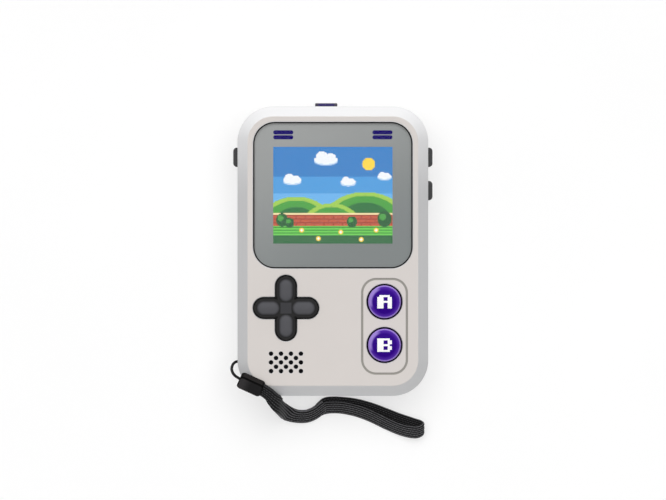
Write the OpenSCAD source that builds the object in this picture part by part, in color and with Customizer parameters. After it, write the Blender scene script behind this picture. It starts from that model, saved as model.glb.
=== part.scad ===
// Pocket handheld game console with a wrist strap, lying on its back.
// Millimetres. X runs to the right, Y towards the top edge, Z out of the display.
// The origin is the middle of the back.

/* [Case] */
// Width across the sides
case_w = 56; // [55:0.5:62]
// Height from the bottom edge to the top edge
case_h = 85; // [84:0.5:95]
// Outside corner radius
case_r = 10.5; // [9.5:0.25:11.5]
// Width of the flat bevel round the front
front_bevel = 3; // [2.25:0.25:3.25]
// Width of the bevel round the back
back_bevel = 2; // [1:0.25:2.5]
// Radius that blends each bevel into the faces beside it
blend_r = 0.5; // [0.4:0.1:1.2]
// Wall thickness of both shells
wall = 1.8; // [1.6:0.1:2]
// Height of the locating lip between the shells
lip_h = 1; // [0.6:0.1:1.4]
// Small bevel on the rims of holes
rim = 0.2; // [0.1:0.05:0.3]

/* [Display] */
// Distance of the window's lower edge from the bottom edge
window_from_bottom = 37.4; // [37:0.1:39]
// Printed border on the left and right of the picture
border_x = 5.5; // [5:0.25:7]
// Printed border above and below the picture
border_y = 6.9; // [6.6:0.1:8]
// Corner radius of the window plate
lens_r = 6; // [5:0.25:7]
// Thickness of the window plate
lens_t = 1; // [0.8:0.05:1.2]
// Width of the black gasket line round the window
gasket_w = 0.4; // [0.3:0.05:0.6]
// Flat margin between the gasket and the bevel
lens_margin = 1.6; // [1.2:0.1:2]

/* [Direction pad] */
// Tip to tip span of the cross
pad_span = 18.6; // [17:0.2:19]
// Width of an arm
pad_arm_w = 5.6; // [5:0.1:6]
// Height of the cross above the front face
pad_proud = 1.2; // [0.8:0.1:1.6]
// Height of the raised oval on each arm
pad_oval_h = 0.6; // [0.3:0.05:0.8]
// Gap round the cross
pad_gap = 0.42; // [0.4:0.02:0.6]
// Distance of its centre from the left side
pad_from_left = 14.25; // [14:0.25:15]
// Distance of its centre from the bottom edge
pad_from_bottom = 25.8; // [25.4:0.2:26.4]
// Radius of the ball it rocks on
pivot_r = 1.1; // [1:0.05:1.2]

/* [Buttons] */
// Diameter of a button cap
button_d = 9.6; // [9:0.1:10.2]
// Distance between the two button centres
button_pitch = 12.7; // [12.4:0.1:13.4]
// Gap round a button
button_gap = 0.45; // [0.3:0.05:0.5]
// Height of the button's shoulder above the front face
button_proud = 1.1; // [1.1:0.1:1.6]
// Rise of the domed top
button_dome = 0.6; // [0.3:0.1:1]
// Press travel
button_travel = 1; // [0.6:0.1:1]
// Distance of the buttons from the right side
button_from_right = 12.85; // [12.6:0.05:13.4]
// Distance of the point midway between them from the bottom edge
button_from_bottom = 21.3; // [21:0.1:22]
// Width of the panel inside the groove
groove_panel_w = 13.1; // [12.6:0.1:13.6]
// Height of the panel inside the groove
groove_panel_h = 27.75; // [27:0.25:28.5]
// Width of the groove
groove_w = 0.65; // [0.3:0.05:0.8]
// Depth of the groove
groove_d = 0.4; // [0.2:0.05:0.6]

/* [Speaker] */
// Diameter of a speaker hole
hole_d = 1.3; // [1:0.05:1.4]
// Spacing of the holes along a row
hole_pitch = 2.92; // [2.8:0.02:3.1]
// Spacing of the rows
hole_row = 1.28; // [1.24:0.02:1.4]
// Distance of the hole pattern's centre from the bottom edge
speaker_from_bottom = 9.86; // [9.6:0.02:10]
// Width of the speaker
speaker_w = 13; // [12:0.25:13.25]
// Height of the speaker
speaker_h = 9.4; // [9:0.1:9.6]
// Depth of the speaker
speaker_t = 3; // [2.6:0.1:3.1]

/* [Side keys] */
// Length of a key along the side
key_l = 5.7; // [5:0.1:6.4]
// Height of a key through the case
key_h = 3.4; // [3:0.1:3.8]
// How far a key stands out of the side
key_proud = 1.3; // [1:0.1:1.6]
// Press travel of a key
key_travel = 0.4; // [0.3:0.05:0.5]
// Distance of the upper keys from the top edge
key_from_top = 14.9; // [14:0.1:16]
// Distance between the two right keys
key_pitch = 9.8; // [9.4:0.1:11]

/* [Power slider] */
// Length of the knob along the top edge
knob_l = 6.55; // [5.5:0.05:7]
// Height of the knob through the case
knob_h = 2.8; // [2.4:0.1:3.2]
// How far the knob stands out of the top edge
knob_proud = 1; // [0.8:0.05:1]
// Slide travel
knob_travel = 3.9; // [3:0.1:4.2]

/* [Power] */
// Diameter of a cell
cell_d = 10.5; // [10:0.1:10.8]
// Length of a cell with its nub
cell_l = 44.5; // [43.5:0.1:45]
// Gap between neighbouring cells
cell_gap = 0.4; // [0.3:0.05:0.6]
// Clearance over and under the cells
cell_clear = 0.3; // [0.2:0.05:0.5]
// Length of a contact spring when loaded
spring_l = 4.4; // [3.8:0.1:5]
// Wire diameter of a contact spring
spring_wire = 0.5; // [0.4:0.05:0.6]
// Thickness of a contact plate
contact_t = 0.4; // [0.3:0.05:0.5]
// Thickness of the battery door
door_t = 1.6; // [1.4:0.1:1.7]
// Thickness of the battery bay's walls
bay_wall = 1.6; // [1.4:0.1:1.8]
// Thickness of the battery bay's ceiling
bay_top = 1; // [0.8:0.1:1.4]

/* [Board] */
// Thickness of the main board
board_t = 1.2; // [1:0.1:1.6]
// Room between the battery bay and the board
board_room = 0.9; // [0.9:0.1:1.4]
// Room between the board and the front wall
front_room = 3.4; // [3.4:0.1:4]
// Distance of the board's edge from the wall
board_margin = 1.9; // [1.8:0.1:2.2]
// Height of the switches under the board
switch_h = 3.2; // [3:0.1:3.6]

/* [Fasteners] */
// Distance of the case screws from the sides and ends
boss_inset = 5.5; // [5.25:0.05:5.75]
// Shank diameter of a case screw
screw_d = 1.8; // [1.6:0.1:2]
// Head diameter of a case screw
screw_head_d = 3.6; // [3.2:0.1:3.8]
// Depth of the screw wells in the back
well_depth = 8; // [6:0.5:9]

/* [Strap] */
// Diameter of the thin cord
cord_d = 0.8; // [0.5:0.05:0.9]
// Width of the webbing
webbing_w = 4.4; // [4:0.1:4.5]
// Thickness of one layer of webbing
webbing_t = 0.7; // [0.5:0.05:0.8]
// Length of the ferrule
ferrule_l = 7.5; // [6.8:0.1:7.6]
// Width of the ferrule
ferrule_w = 5.2; // [4.8:0.1:5.6]
// Thickness of the ferrule
ferrule_t = 2.6; // [2.5:0.05:2.7]
// Radius of the cord's path round the bar of the eye
eye_r = 2.3; // [2.2:0.05:2.4]
// Distance of the eye from the bottom edge
eye_from_bottom = 10; // [10:0.1:10.4]

/* [Hidden] */
$fn = 64;
fit = 0.1;
slide_gap = 0.2;
seat_gap = 0.3;
seam = 0.2;
through = 1;

// Heights, from the back to the front
cell_z = door_t + cell_clear + cell_d / 2;
bay_ceiling = door_t + 2 * cell_clear + cell_d;
bay_top_z = bay_ceiling + bay_top;
board_bottom = bay_top_z + board_room;
board_z = board_bottom + board_t;
inner_z = board_z + front_room;
case_t = inner_z + wall;
parting_z = board_bottom - switch_h / 2;

// Places, measured from the edges that they belong to
function from_bottom(y) = -case_h / 2 + y;
function from_top(y) = case_h / 2 - y;
lens_w = case_w - 2 * (front_bevel + lens_margin + gasket_w);
lens_h = case_h - front_bevel - lens_margin - 2 * gasket_w - window_from_bottom;
lens_y = from_bottom(window_from_bottom + gasket_w + lens_h / 2);
screen_w = lens_w - 2 * border_x;
screen_h = lens_h - 2 * border_y;
pad_x = -case_w / 2 + pad_from_left;
pad_y = from_bottom(pad_from_bottom);
button_x = case_w / 2 - button_from_right;
button_mid_y = from_bottom(button_from_bottom);
button_ys = [button_mid_y + button_pitch / 2, button_mid_y - button_pitch / 2];
speaker_y = from_bottom(speaker_from_bottom);
key_y = from_top(key_from_top);
knob_x = -knob_travel / 2;

// Inside of the shells
cavity_w = case_w - 2 * wall;
cavity_h = case_h - 2 * wall;
cavity_r = case_r - wall;
cavity_bevel = front_bevel - 0.4;

// Window stack
seat_t = 0.2;
print_t = 0.15;
print_gap = 0.03;
lens_drop = 0.1;
lens_z = case_t - lens_drop - lens_t;
print_z = lens_z - print_gap - print_t;
recess_z = print_z - seat_t;
ledge_z = inner_z - 0.6;
recess_w = lens_w + 2 * gasket_w;
recess_h = lens_h + 2 * gasket_w;
recess_r = lens_r + gasket_w;
opening_w = screen_w + 3;
opening_h = screen_h + 2.6;

// Display module
backlight_t = 1.2;
glass_t = 1;
display_z = board_z + fit;
glass_z = display_z + backlight_t;
glass_top = glass_z + glass_t;
glass_w = screen_w + 9;
glass_h = screen_h + 5.6;
backlight_w = glass_w + 2.4;
glass_low_y = lens_y - glass_h / 2;

// Rubber membranes
membrane_t = 0.7;
dome_h = 0.65;
dome_top = board_z + membrane_t + dome_h;

// Direction pad heights
pivot_z = board_z + 0.05 + pivot_r;
pivot_fit = 0.05;
pad_low = dome_top + 0.05;
pad_flange_t = 1;
pad_flange = 0.75;
pad_top = case_t + pad_proud;
pad_edge = 0.8;
pad_nub = 7;

// Button heights
button_low = dome_top + 0.05;
button_flange = 1;
button_flange_top = inner_z - seat_gap;
button_flange_t = 1;
button_shoulder = case_t + button_proud;

// Side keys
key_flange = 0.9;
key_flange_t = 0.8;
key_flange_x = case_w / 2 - wall - seat_gap;
key_inner_x = key_flange_x - key_flange_t;
plunger_r = 0.8;
switch_x = key_inner_x - key_travel - 0.7;
switch_l = 6;
plunger_depth = 1.4;

// Power slider
knob_flange_t = 0.7;
knob_flange_y = case_h / 2 - wall - seat_gap;
knob_socket = 1.3;
lever_w = 1.6;
power_switch_y = knob_flange_y - knob_flange_t - knob_socket - 0.4;
power_switch_d = 3.7;
power_switch_w = knob_travel + 7.1;

// Battery bay
cell_pitch = cell_d + cell_gap;
bay_w = 2 * cell_pitch + cell_d + 2 * cell_gap;
bay_l = cell_l + 2 * contact_t + spring_l + fit;
bay_side = bay_w / 2 + bay_wall;
switch_w = min(3.6, switch_x - bay_side - seat_gap);
door_lap = 0.8;
door_w = bay_w + 2 * door_lap;
door_l = bay_l + 2 * door_lap;
tongue_w = 9;
tongue_l = 7.7;
tongue_y = -door_l / 2 - tongue_l + tongue_w / 2;
tab_x = 8;
tab_w = 4;
tab_t = 1;
tab_reach = 2.2;
tab_z = wall + 0.15;
contact_z = 4.4;
contact_h = 7;
contact_tab_z = 9;
contact_tab_w = 2.2;
contact_tab_x = cell_pitch + 2.6;
contact_tab_out = 1.1;
door_screw_head_t = 0.75;
door_screw_head_d = 3.7;
door_screw_d = 1.9;
door_screw_tip = 4.8;
door_head_z = 0.1;

// Case screws and bosses
boss_r = 2.4;
post_r = 2.8;
boss_x = case_w / 2 - boss_inset;
boss_y = case_h / 2 - boss_inset;
screw_tip = inner_z - 1.6;
screw_head_t = 1.5;

// Main board
board_w = cavity_w - 2 * board_margin;
board_h = cavity_h - 2 * board_margin;
board_r = cavity_r - board_margin;
board_boss_r = 1.9;
board_screw_d = 1.3;
board_screw_head_d = 3;
board_screw_head_t = 0.65;
board_screw_x = pad_x + 16.1;
board_screw_places = [
    [-13, from_top(6.5)], [13, from_top(6.5)],
    [board_screw_x, pad_y + 4.7], [board_screw_x, pad_y - 17.3]
];

// Parts under the board: three beside the lower screws, and a strip between the bay and each side
chip_x = board_screw_x + 6.65;
amplifier_x = board_screw_x - 4.75;
crystal_x = board_screw_x - 14.35;
strip_x = (bay_side + board_w / 2) / 2;
strip_w = board_w / 2 - bay_side - 2 * seat_gap;

// Eye for the strap
eye_z = 9;
eye_hole_r = cord_d / 2 + 0.35;
eye_y = from_bottom(eye_from_bottom);

// Strap routes, laid out by hand from the lower left corner of the case: the loop of cord through
// the eye, the double stretch of webbing down to the table, and the single loop on the table.
strap_corner = [-case_w / 2, -case_h / 2, 0];
function from_corner(route) = [for (p = route) strap_corner + p];
cord_route = from_corner([
    [1.7, 4.4, 22.2], [0.5, 5.2, 22.2], [-0.6, 5.9, 21.6], [-1.4, 6.8, 19.9],
    [-1.75, 7.9, 17.2], [-1.5, 9, 14.2], [-0.9, 9.7, 12.1], [0, 10, 11.3],
    [1.1, 10, 11], [2, 10, 10.2], [2.3, 10, 9], [2, 10, 7.8],
    [1.1, 10, 7], [0, 10, 6.7], [-0.9, 9.7, 7.1], [-1.5, 9, 8.8],
    [-1.75, 7.9, 12.2], [-1.4, 6.8, 16], [-0.6, 5.9, 19.2], [0.5, 5.2, 20.8],
    [1.7, 4.4, 21.2]
]);
tail_route = from_corner([
    [6, 2.5, 21.7], [7.2, 1.95, 21.7], [9.2, 0.6, 21.6], [10.7, -0.95, 20.8],
    [11.8, -2.5, 18.6], [12.4, -3.4, 15.2], [12.9, -4.05, 11.2], [13.5, -4.65, 7.4],
    [14.5, -5.4, 4.5], [16.3, -6.1, 2.95], [18.3, -6.4, 2.35], [20.3, -6.3, 2.2],
    [22, -5.7, 2.2], [23.4, -4.85, 2.2], [24.6, -3.9, 2.2], [25.7, -3.2, 2.15]
]);
loop_route = from_corner([
    [23.6, -4.95, 1.95], [25.3, -4.15, 1.9], [27.3, -3.8, 1.9], [30.7, -3.9, 1.9],
    [35, -4.8, 1.9], [39.3, -6.4, 1.9],
    [43.5, -8.45, 2.05], [47.2, -10.05, 2.7], [50.2, -10.9, 3.8], [52.6, -11.1, 4.6], [54.1, -10.65, 4.35],
    [54.75, -9.95, 3.65], [54.1, -9.25, 2.8], [51.6, -8.45, 2.1], [47.5, -7.1, 1.9], [43.5, -5.55, 1.9],
    [39.3, -4, 1.9], [35, -2.85, 1.9], [30.7, -2.3, 1.9], [27.6, -2.2, 1.9],
    [25.7, -2.5, 1.9], [24.4, -3.4, 1.95], [23.5, -4.3, 2]
]);
ferrule_mid = strap_corner + [4, 3.4, 21.7];
webbing_lean = [0, 0.75, 0.66];

// Plain outlines and solids

module rounded_rect(w, h, r) {
    square([w - 2 * r, h], center = true);
    square([w, h - 2 * r], center = true);
    for (x = [-1, 1], y = [-1, 1])
        translate([x * (w / 2 - r), y * (h / 2 - r)]) circle(r);
}

module slab(w, h, r, t) {
    linear_extrude(t) rounded_rect(w, h, r);
}

module block(size, low) {
    translate([-size[0] / 2, -size[1] / 2, low]) cube(size);
}

module trapezoid(w, inset, t) {
    polygon([[-w / 2, 0], [w / 2, 0], [w / 2 - inset, t], [-w / 2 + inset, t]]);
}

// A slab whose outline draws in by inset over its thickness
module tapered_slab(w, h, r, t, inset) {
    for (x = [-1, 1], y = [-1, 1])
        translate([x * (w / 2 - r), y * (h / 2 - r), 0]) cylinder(t, r, r - inset);
    rotate([90, 0, 0]) linear_extrude(h - 2 * r, center = true) trapezoid(w, inset, t);
    rotate([90, 0, 90]) linear_extrude(w - 2 * r, center = true) trapezoid(h, inset, t);
}

// A bar with round ends, along X
module slot(l, w, t) {
    linear_extrude(t) {
        square([l - w, w], center = true);
        for (x = [-1, 1]) translate([x * (l - w) / 2, 0]) circle(w / 2);
    }
}

module tapered_slot(l, w, t, inset) {
    for (x = [-1, 1]) translate([x * (l - w) / 2, 0, 0]) cylinder(t, w / 2, w / 2 - inset);
    rotate([90, 0, 90]) linear_extrude(l - w, center = true) trapezoid(w, inset, t);
}

module cross_of_slots(l, w, t) {
    for (a = [0, 90]) rotate(a) slot(l, w, t);
}

function arc(centre, r, a0, a1, steps) =
    [for (i = [0 : steps]) let (a = a0 + (a1 - a0) * i / steps) centre + r * [cos(a), sin(a)]];

// Edge sections of the shells, from the corner's axis outwards
blend_run = blend_r * tan(22.5);
blend_steps = 5;

front_section = concat(
    [[0, parting_z], [case_r - seam, parting_z], [case_r, parting_z + seam]],
    arc([case_r - blend_r, case_t - front_bevel - blend_run], blend_r, 0, 45, blend_steps),
    arc([case_r - front_bevel - blend_run, case_t - blend_r], blend_r, 45, 90, blend_steps),
    [[0, case_t]]
);

rear_section = concat(
    [[0, 0]],
    arc([case_r - back_bevel - blend_run, blend_r], blend_r, -90, -45, blend_steps),
    arc([case_r - blend_r, back_bevel + blend_run], blend_r, -45, 0, blend_steps),
    [[case_r, parting_z - seam], [case_r - seam, parting_z], [0, parting_z]]
);

// The solid that an edge section makes when it follows the case's outline
module case_form(section) {
    half_x = case_w / 2 - case_r;
    half_y = case_h / 2 - case_r;
    last = len(section) - 1;
    right = [for (i = [1 : last - 1]) [half_x + section[i][0], section[i][1]]];
    left = [for (i = [1 : last - 1]) [-half_x - section[last - i][0], section[last - i][1]]];
    rotate([90, 0, 0]) linear_extrude(2 * half_y, center = true) polygon(concat(right, left));
    for (a = [0, 180])
        rotate(a) translate([0, half_y, 0])
            rotate([90, 0, 90]) linear_extrude(2 * half_x, center = true) polygon(section);
    for (mx = [0, 1], my = [0, 1])
        mirror([mx, 0, 0]) mirror([0, my, 0])
            translate([half_x, half_y, 0]) rotate_extrude(angle = 90) polygon(section);
}

module at_bosses() {
    for (x = [-1, 1], y = [-1, 1]) translate([x * boss_x, y * boss_y, 0]) children();
}

module at_board_screws() {
    for (p = board_screw_places) translate([p[0], p[1], 0]) children();
}

module at_buttons() {
    for (y = button_ys) translate([button_x, y, 0]) children();
}

module at_pad() {
    translate([pad_x, pad_y, 0]) children();
}

module at_speaker() {
    translate([pad_x, speaker_y, 0]) children();
}

// The three side keys: the left one, then the upper and lower right ones.
// Each is drawn as a right key and mirrored where it sits on the left.
key_places = [[1, key_y], [0, key_y], [0, key_y - key_pitch]];

module at_key(i) {
    mirror([key_places[i][0], 0, 0]) translate([0, key_places[i][1], parting_z]) children();
}

// A bar along X with a rounded rectangle as its end
module side_bar(l, h, r, x0, x1) {
    translate([x0, 0, 0]) rotate([90, 0, 90]) slab(l, h, r, x1 - x0);
}

// Openings that both shells share, centred on the parting plane
module edge_openings() {
    for (i = [0 : 2])
        at_key(i)
            side_bar(key_l + 2 * slide_gap, key_h + 2 * slide_gap, 0.9,
                case_w / 2 - wall - through, case_w / 2 + through);
    translate([0, 0, parting_z]) rotate(90)
        side_bar(knob_l + knob_travel + 2 * slide_gap, knob_h + 2 * slide_gap, 0.9,
            case_h / 2 - wall - through, case_h / 2 + through);
}

// Shells

module front_cavity() {
    low = parting_z - through;
    turn = inner_z - cavity_bevel;
    translate([0, 0, low]) slab(cavity_w, cavity_h, cavity_r, turn - low);
    translate([0, 0, turn]) tapered_slab(cavity_w, cavity_h, cavity_r, cavity_bevel, cavity_bevel);
}

module window_cuts() {
    translate([0, lens_y, 0]) {
        translate([0, 0, recess_z]) slab(recess_w, recess_h, recess_r, case_t - recess_z + through);
        translate([0, 0, case_t - rim]) tapered_slab(recess_w, recess_h, recess_r, 2 * rim, -2 * rim);
        translate([0, 0, ledge_z - through]) slab(opening_w, opening_h, 1, recess_z - ledge_z + 2 * through);
    }
}

module control_cuts() {
    pad_hole_l = pad_span + 2 * pad_gap;
    pad_hole_w = pad_arm_w + 2 * pad_gap;
    button_hole_r = button_d / 2 + button_gap;
    at_pad() {
        translate([0, 0, board_z]) cross_of_slots(pad_hole_l, pad_hole_w, case_t);
        for (a = [0, 90])
            translate([0, 0, case_t - rim]) rotate(a) tapered_slot(pad_hole_l, pad_hole_w, 2 * rim, -2 * rim);
    }
    at_buttons() {
        translate([0, 0, board_z]) cylinder(case_t, r = button_hole_r);
        translate([0, 0, case_t - rim]) cylinder(2 * rim, button_hole_r, button_hole_r + 2 * rim);
    }
}

// The groove's panel sits a little lower than the two buttons
groove_shift = -0.86;
groove_r = 4.1;

module groove_ring() {
    translate([button_x, button_mid_y + groove_shift, case_t - groove_d])
        linear_extrude(groove_d + through) difference() {
            rounded_rect(groove_panel_w + groove_w, groove_panel_h + groove_w, groove_r + groove_w / 2);
            rounded_rect(groove_panel_w - groove_w, groove_panel_h - groove_w, groove_r - groove_w / 2);
        }
}

// Five rows of speaker holes, four and three by turns
module speaker_holes() {
    at_speaker()
        for (row = [-2 : 2]) {
            count = 4 - abs(row) % 2;
            for (i = [0 : count - 1])
                translate([(i - (count - 1) / 2) * hole_pitch, row * hole_row, 0]) {
                    translate([0, 0, inner_z - through]) cylinder(wall + 2 * through, d = hole_d, $fn = 32);
                    translate([0, 0, case_t - rim / 2]) cylinder(rim, d1 = hole_d, d2 = hole_d + 2 * rim, $fn = 32);
                }
        }
}

speaker_fit = 0.2;
speaker_fence = 0.6;
speaker_fence_h = 1.8;

module speaker_wall() {
    pocket_w = speaker_w + 2 * speaker_fit;
    pocket_h = speaker_h + 2 * speaker_fit;
    at_speaker() translate([0, 0, inner_z - speaker_fence_h])
        linear_extrude(speaker_fence_h + fit) difference() {
            rounded_rect(pocket_w + 2 * speaker_fence, pocket_h + 2 * speaker_fence, 3);
            rounded_rect(pocket_w, pocket_h, 2.4);
        }
}

module front_shell() {
    color("#d6d0cc") difference() {
        union() {
            difference() {
                case_form(front_section);
                front_cavity();
            }
            translate([0, lens_y, ledge_z]) slab(recess_w + 2, recess_h + 1.6, recess_r, recess_z - ledge_z);
            intersection() {
                case_form(front_section);
                at_bosses() translate([0, 0, parting_z]) cylinder(inner_z + fit - parting_z, r = boss_r);
            }
            at_board_screws() translate([0, 0, board_z]) cylinder(inner_z + fit - board_z, r = board_boss_r);
            speaker_wall();
        }
        window_cuts();
        control_cuts();
        groove_ring();
        speaker_holes();
        edge_openings();
        at_bosses() translate([0, 0, parting_z - through])
            cylinder(screw_tip + 0.4 - parting_z + through, d = screw_d + fit);
        at_board_screws() translate([0, 0, board_z - through])
            cylinder(2.4 + through, d = board_screw_d + fit);
    }
}

module rear_cavity() {
    translate([0, 0, wall]) slab(cavity_w, cavity_h, cavity_r, parting_z);
}

module locating_lip() {
    lip_t = 0.8;
    lip_w = cavity_w - 2 * fit;
    lip_l = cavity_h - 2 * fit;
    lip_r = cavity_r - fit;
    root = 1.5;
    difference() {
        translate([0, 0, parting_z - root]) linear_extrude(root + lip_h) difference() {
            rounded_rect(cavity_w + fit, cavity_h + fit, cavity_r + fit / 2);
            rounded_rect(lip_w - 2 * lip_t, lip_l - 2 * lip_t, lip_r - lip_t);
        }
        translate([0, 0, parting_z]) linear_extrude(lip_h + through) difference() {
            square([case_w, case_h], center = true);
            rounded_rect(lip_w, lip_l, lip_r);
        }
        at_bosses() translate([0, 0, parting_z]) cylinder(lip_h + through, r = boss_r + seat_gap);
        for (i = [0 : 2])
            at_key(i) translate([case_w / 2 - wall, 0, 0])
                cube([4 * key_flange_t, key_l + 2 * key_flange + 4 * slide_gap, 12], center = true);
        translate([knob_x + knob_travel / 2, case_h / 2 - wall, parting_z])
            cube([knob_l + 3 * knob_travel + 3, 4 * knob_flange_t, 12], center = true);
    }
}

// The door's outline, grown all round by a gap
module door_outline(gap) {
    rounded_rect(door_w + 2 * gap, door_l + 2 * gap, 2 + gap);
    translate([0, tongue_y]) circle(tongue_w / 2 + gap);
    translate([0, (tongue_y - door_l / 2) / 2])
        square([tongue_w + 2 * gap, abs(tongue_y + door_l / 2) + 2], center = true);
}

module door_seat() {
    seat_r = tongue_w / 2 + 1.6;
    translate([0, tongue_y, 0]) cylinder(door_t + 1.6, r = seat_r);
    translate([0, (tongue_y - bay_l / 2) / 2, (door_t + 1.6) / 2])
        cube([2 * seat_r, abs(tongue_y + bay_l / 2), door_t + 1.6], center = true);
    translate([0, tongue_y, 0]) cylinder(door_screw_tip + 1.8, r = 2.7);
}

module eye_block() {
    depth = eye_r + eye_hole_r + 1;
    translate([-case_w / 2, eye_y - 2.4, eye_z - eye_r - eye_hole_r - 1.2])
        cube([depth, 4.8, 2 * (eye_r + eye_hole_r) + 2.2]);
}

module eye_tunnel() {
    translate([-case_w / 2, eye_y, eye_z]) rotate([90, 0, 0])
        rotate_extrude() translate([eye_r, 0]) circle(eye_hole_r);
}

module cell_ribs() {
    rib_h = 2.4;
    for (x = [-1, 1])
        translate([x * cell_pitch / 2, 0, bay_ceiling - rib_h / 2])
            cube([1.1, bay_l * 0.6, rib_h + 2 * fit], center = true);
}

module bay_cuts() {
    translate([0, 0, (bay_ceiling - through) / 2]) cube([bay_w, bay_l, bay_ceiling + through], center = true);
    translate([0, 0, -through]) linear_extrude(door_t + 0.05 + through) door_outline(slide_gap);
    for (x = [-1, 1])
        translate([x * tab_x, bay_l / 2 + 1.8, door_t + 1.35])
            cube([tab_w + 3 * slide_gap, 5.4, 2.9], center = true);
    for (s = [-1, 1])
        translate([s * contact_tab_x, -s * (bay_l / 2 + bay_wall / 2), contact_tab_z])
            cube([contact_tab_w + 2 * slide_gap, 2 * bay_wall, contact_t + 2 * slide_gap], center = true);
}

module rear_shell() {
    color("#cfc9c5") difference() {
        union() {
            difference() {
                case_form(rear_section);
                rear_cavity();
            }
            block([bay_w + 2 * bay_wall, bay_l + 2 * bay_wall, bay_top_z], 0);
            intersection() {
                case_form(rear_section);
                union() {
                    at_bosses() cylinder(parting_z, r = post_r);
                    eye_block();
                }
            }
            door_seat();
            locating_lip();
        }
        difference() {
            bay_cuts();
            cell_ribs();
        }
        at_bosses() {
            translate([0, 0, -through]) cylinder(well_depth + through, d = screw_head_d + 4 * slide_gap);
            translate([0, 0, -through]) cylinder(parting_z + 2 * through, d = screw_d + 2 * slide_gap);
        }
        translate([0, tongue_y, -through]) cylinder(door_screw_tip + 0.6 + through, d = door_screw_d + 0.5);
        edge_openings();
        eye_tunnel();
    }
}

// A pan head screw pointing along +Z, with its head under z = 0 and a cross recess
module screw(d, head_d, head_t, l) {
    difference() {
        union() {
            translate([0, 0, -head_t]) cylinder(head_t, d = head_d);
            translate([0, 0, -head_t / 2]) cylinder(l + head_t / 2, d = d);
        }
        for (a = [0, 90])
            rotate(a) translate([0, 0, -head_t]) cube([head_d * 0.6, head_d * 0.16, head_t], center = true);
    }
}

module case_screws() {
    color("#8d9094")
        at_bosses() translate([0, 0, well_depth]) screw(screw_d, screw_head_d, screw_head_t, screw_tip - well_depth);
}

module battery_door() {
    tab_root = door_l / 2 - 1.1;
    grip_count = 5;
    grip_pitch = 1.6;
    color("#cfc9c5") difference() {
        union() {
            linear_extrude(door_t) door_outline(0);
            for (x = [-1, 1]) {
                translate([x * tab_x - tab_w / 2, tab_root, door_t - fit])
                    cube([tab_w, 1.1, tab_z + tab_t - door_t + fit]);
                translate([x * tab_x - tab_w / 2, tab_root, tab_z])
                    cube([tab_w, 1.1 + tab_reach, tab_t]);
            }
        }
        for (i = [0 : grip_count - 1])
            translate([0, -door_l / 2 + 5 + i * grip_pitch, 0]) cube([16, 0.8, 0.8], center = true);
        translate([0, tongue_y, -through]) cylinder(door_t + 2 * through, d = door_screw_d + 2 * fit);
        translate([0, tongue_y, -through])
            cylinder(door_head_z + door_screw_head_t + through, d = door_screw_head_d + 2 * slide_gap);
    }
}

module door_screw() {
    seat = door_head_z + door_screw_head_t;
    color("#8d9094") translate([0, tongue_y, seat])
        screw(door_screw_d, door_screw_head_d, door_screw_head_t, door_screw_tip - seat);
}

// Window and display

module window_plate() {
    edge = 0.25;
    color("#9ea3a2", 0.5) translate([0, lens_y, lens_z]) {
        slab(lens_w, lens_h, lens_r, lens_t - edge);
        slab(lens_w - 2 * edge, lens_h - 2 * edge, lens_r - edge, lens_t);
        translate([0, 0, lens_t - edge]) tapered_slab(lens_w, lens_h, lens_r, edge, edge);
    }
}

module window_print() {
    color("#9a9f9e") translate([0, lens_y, print_z]) difference() {
        slab(lens_w, lens_h, lens_r, print_t);
        block([screen_w, screen_h, 4], -2);
    }
}

module window_gasket() {
    lap = 2;
    color("#262326") translate([0, lens_y, recess_z]) difference() {
        slab(recess_w, recess_h, recess_r, case_t - 2 * lens_drop - recess_z);
        translate([0, 0, seat_t]) slab(lens_w, lens_h, lens_r, case_t - recess_z);
        translate([0, 0, -through])
            slab(lens_w - 2 * lap, lens_h - 2 * lap, lens_r - lap, seat_t + 2 * through);
    }
}

module display_glass() {
    color("#4a8fd0") translate([0, lens_y, glass_z]) block([glass_w, glass_h, glass_t], 0);
}

module display_backlight() {
    color("#eceae4") translate([0, lens_y, display_z]) difference() {
        block([backlight_w, glass_h, backlight_t], 0);
        for (x = [-1, 1], y = [-1, 1])
            translate([x * backlight_w / 2, y * glass_h / 2, 0]) cylinder(3 * backlight_t, r = 0.8, center = true);
    }
}

module display_foam() {
    color("#2c2c2e") translate([0, lens_y, glass_top]) difference() {
        block([glass_w, glass_h, ledge_z - glass_top], 0);
        block([opening_w, opening_h, 8], -4);
    }
}

// Flat cable from the glass, over its lower edge and down into the socket on the board
socket_gap = 3.1;
cable_w = 12;

module display_cable() {
    cable_t = 0.2;
    lead_in = 0.3;
    z_high = glass_z + cable_t / 2;
    z_low = board_z + 0.45;
    bend = (z_high - z_low) / 2;
    y_edge = glass_low_y - lead_in;
    y_end = glass_low_y - socket_gap - 0.6;
    function side(o) = concat(
        [[glass_low_y, z_high + o]],
        arc([y_edge, z_high - bend], bend + o, 90, 180, 8),
        arc([y_edge - 2 * bend, z_low + bend], bend - o, 0, -90, 8),
        [[y_end, z_low + o]]
    );
    outer = side(cable_t / 2);
    inner = side(-cable_t / 2);
    count = len(inner);
    color("#b5742c") rotate([90, 0, 90]) linear_extrude(cable_w, center = true)
        polygon(concat(outer, [for (i = [1 : count]) inner[count - i]]));
}

module display_socket() {
    socket_h = 0.9;
    socket_d = 2.6;
    socket_w = cable_w + 2;
    mouth_w = cable_w + 0.6;
    color("#e8e2d0") translate([0, glass_low_y - socket_gap, board_z]) difference() {
        translate([-socket_w / 2, -socket_d, 0]) cube([socket_w, socket_d, socket_h]);
        translate([-mouth_w / 2, -socket_d / 2, 0.25]) cube([mouth_w, socket_d, 0.4]);
    }
}

// Direction pad

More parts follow.
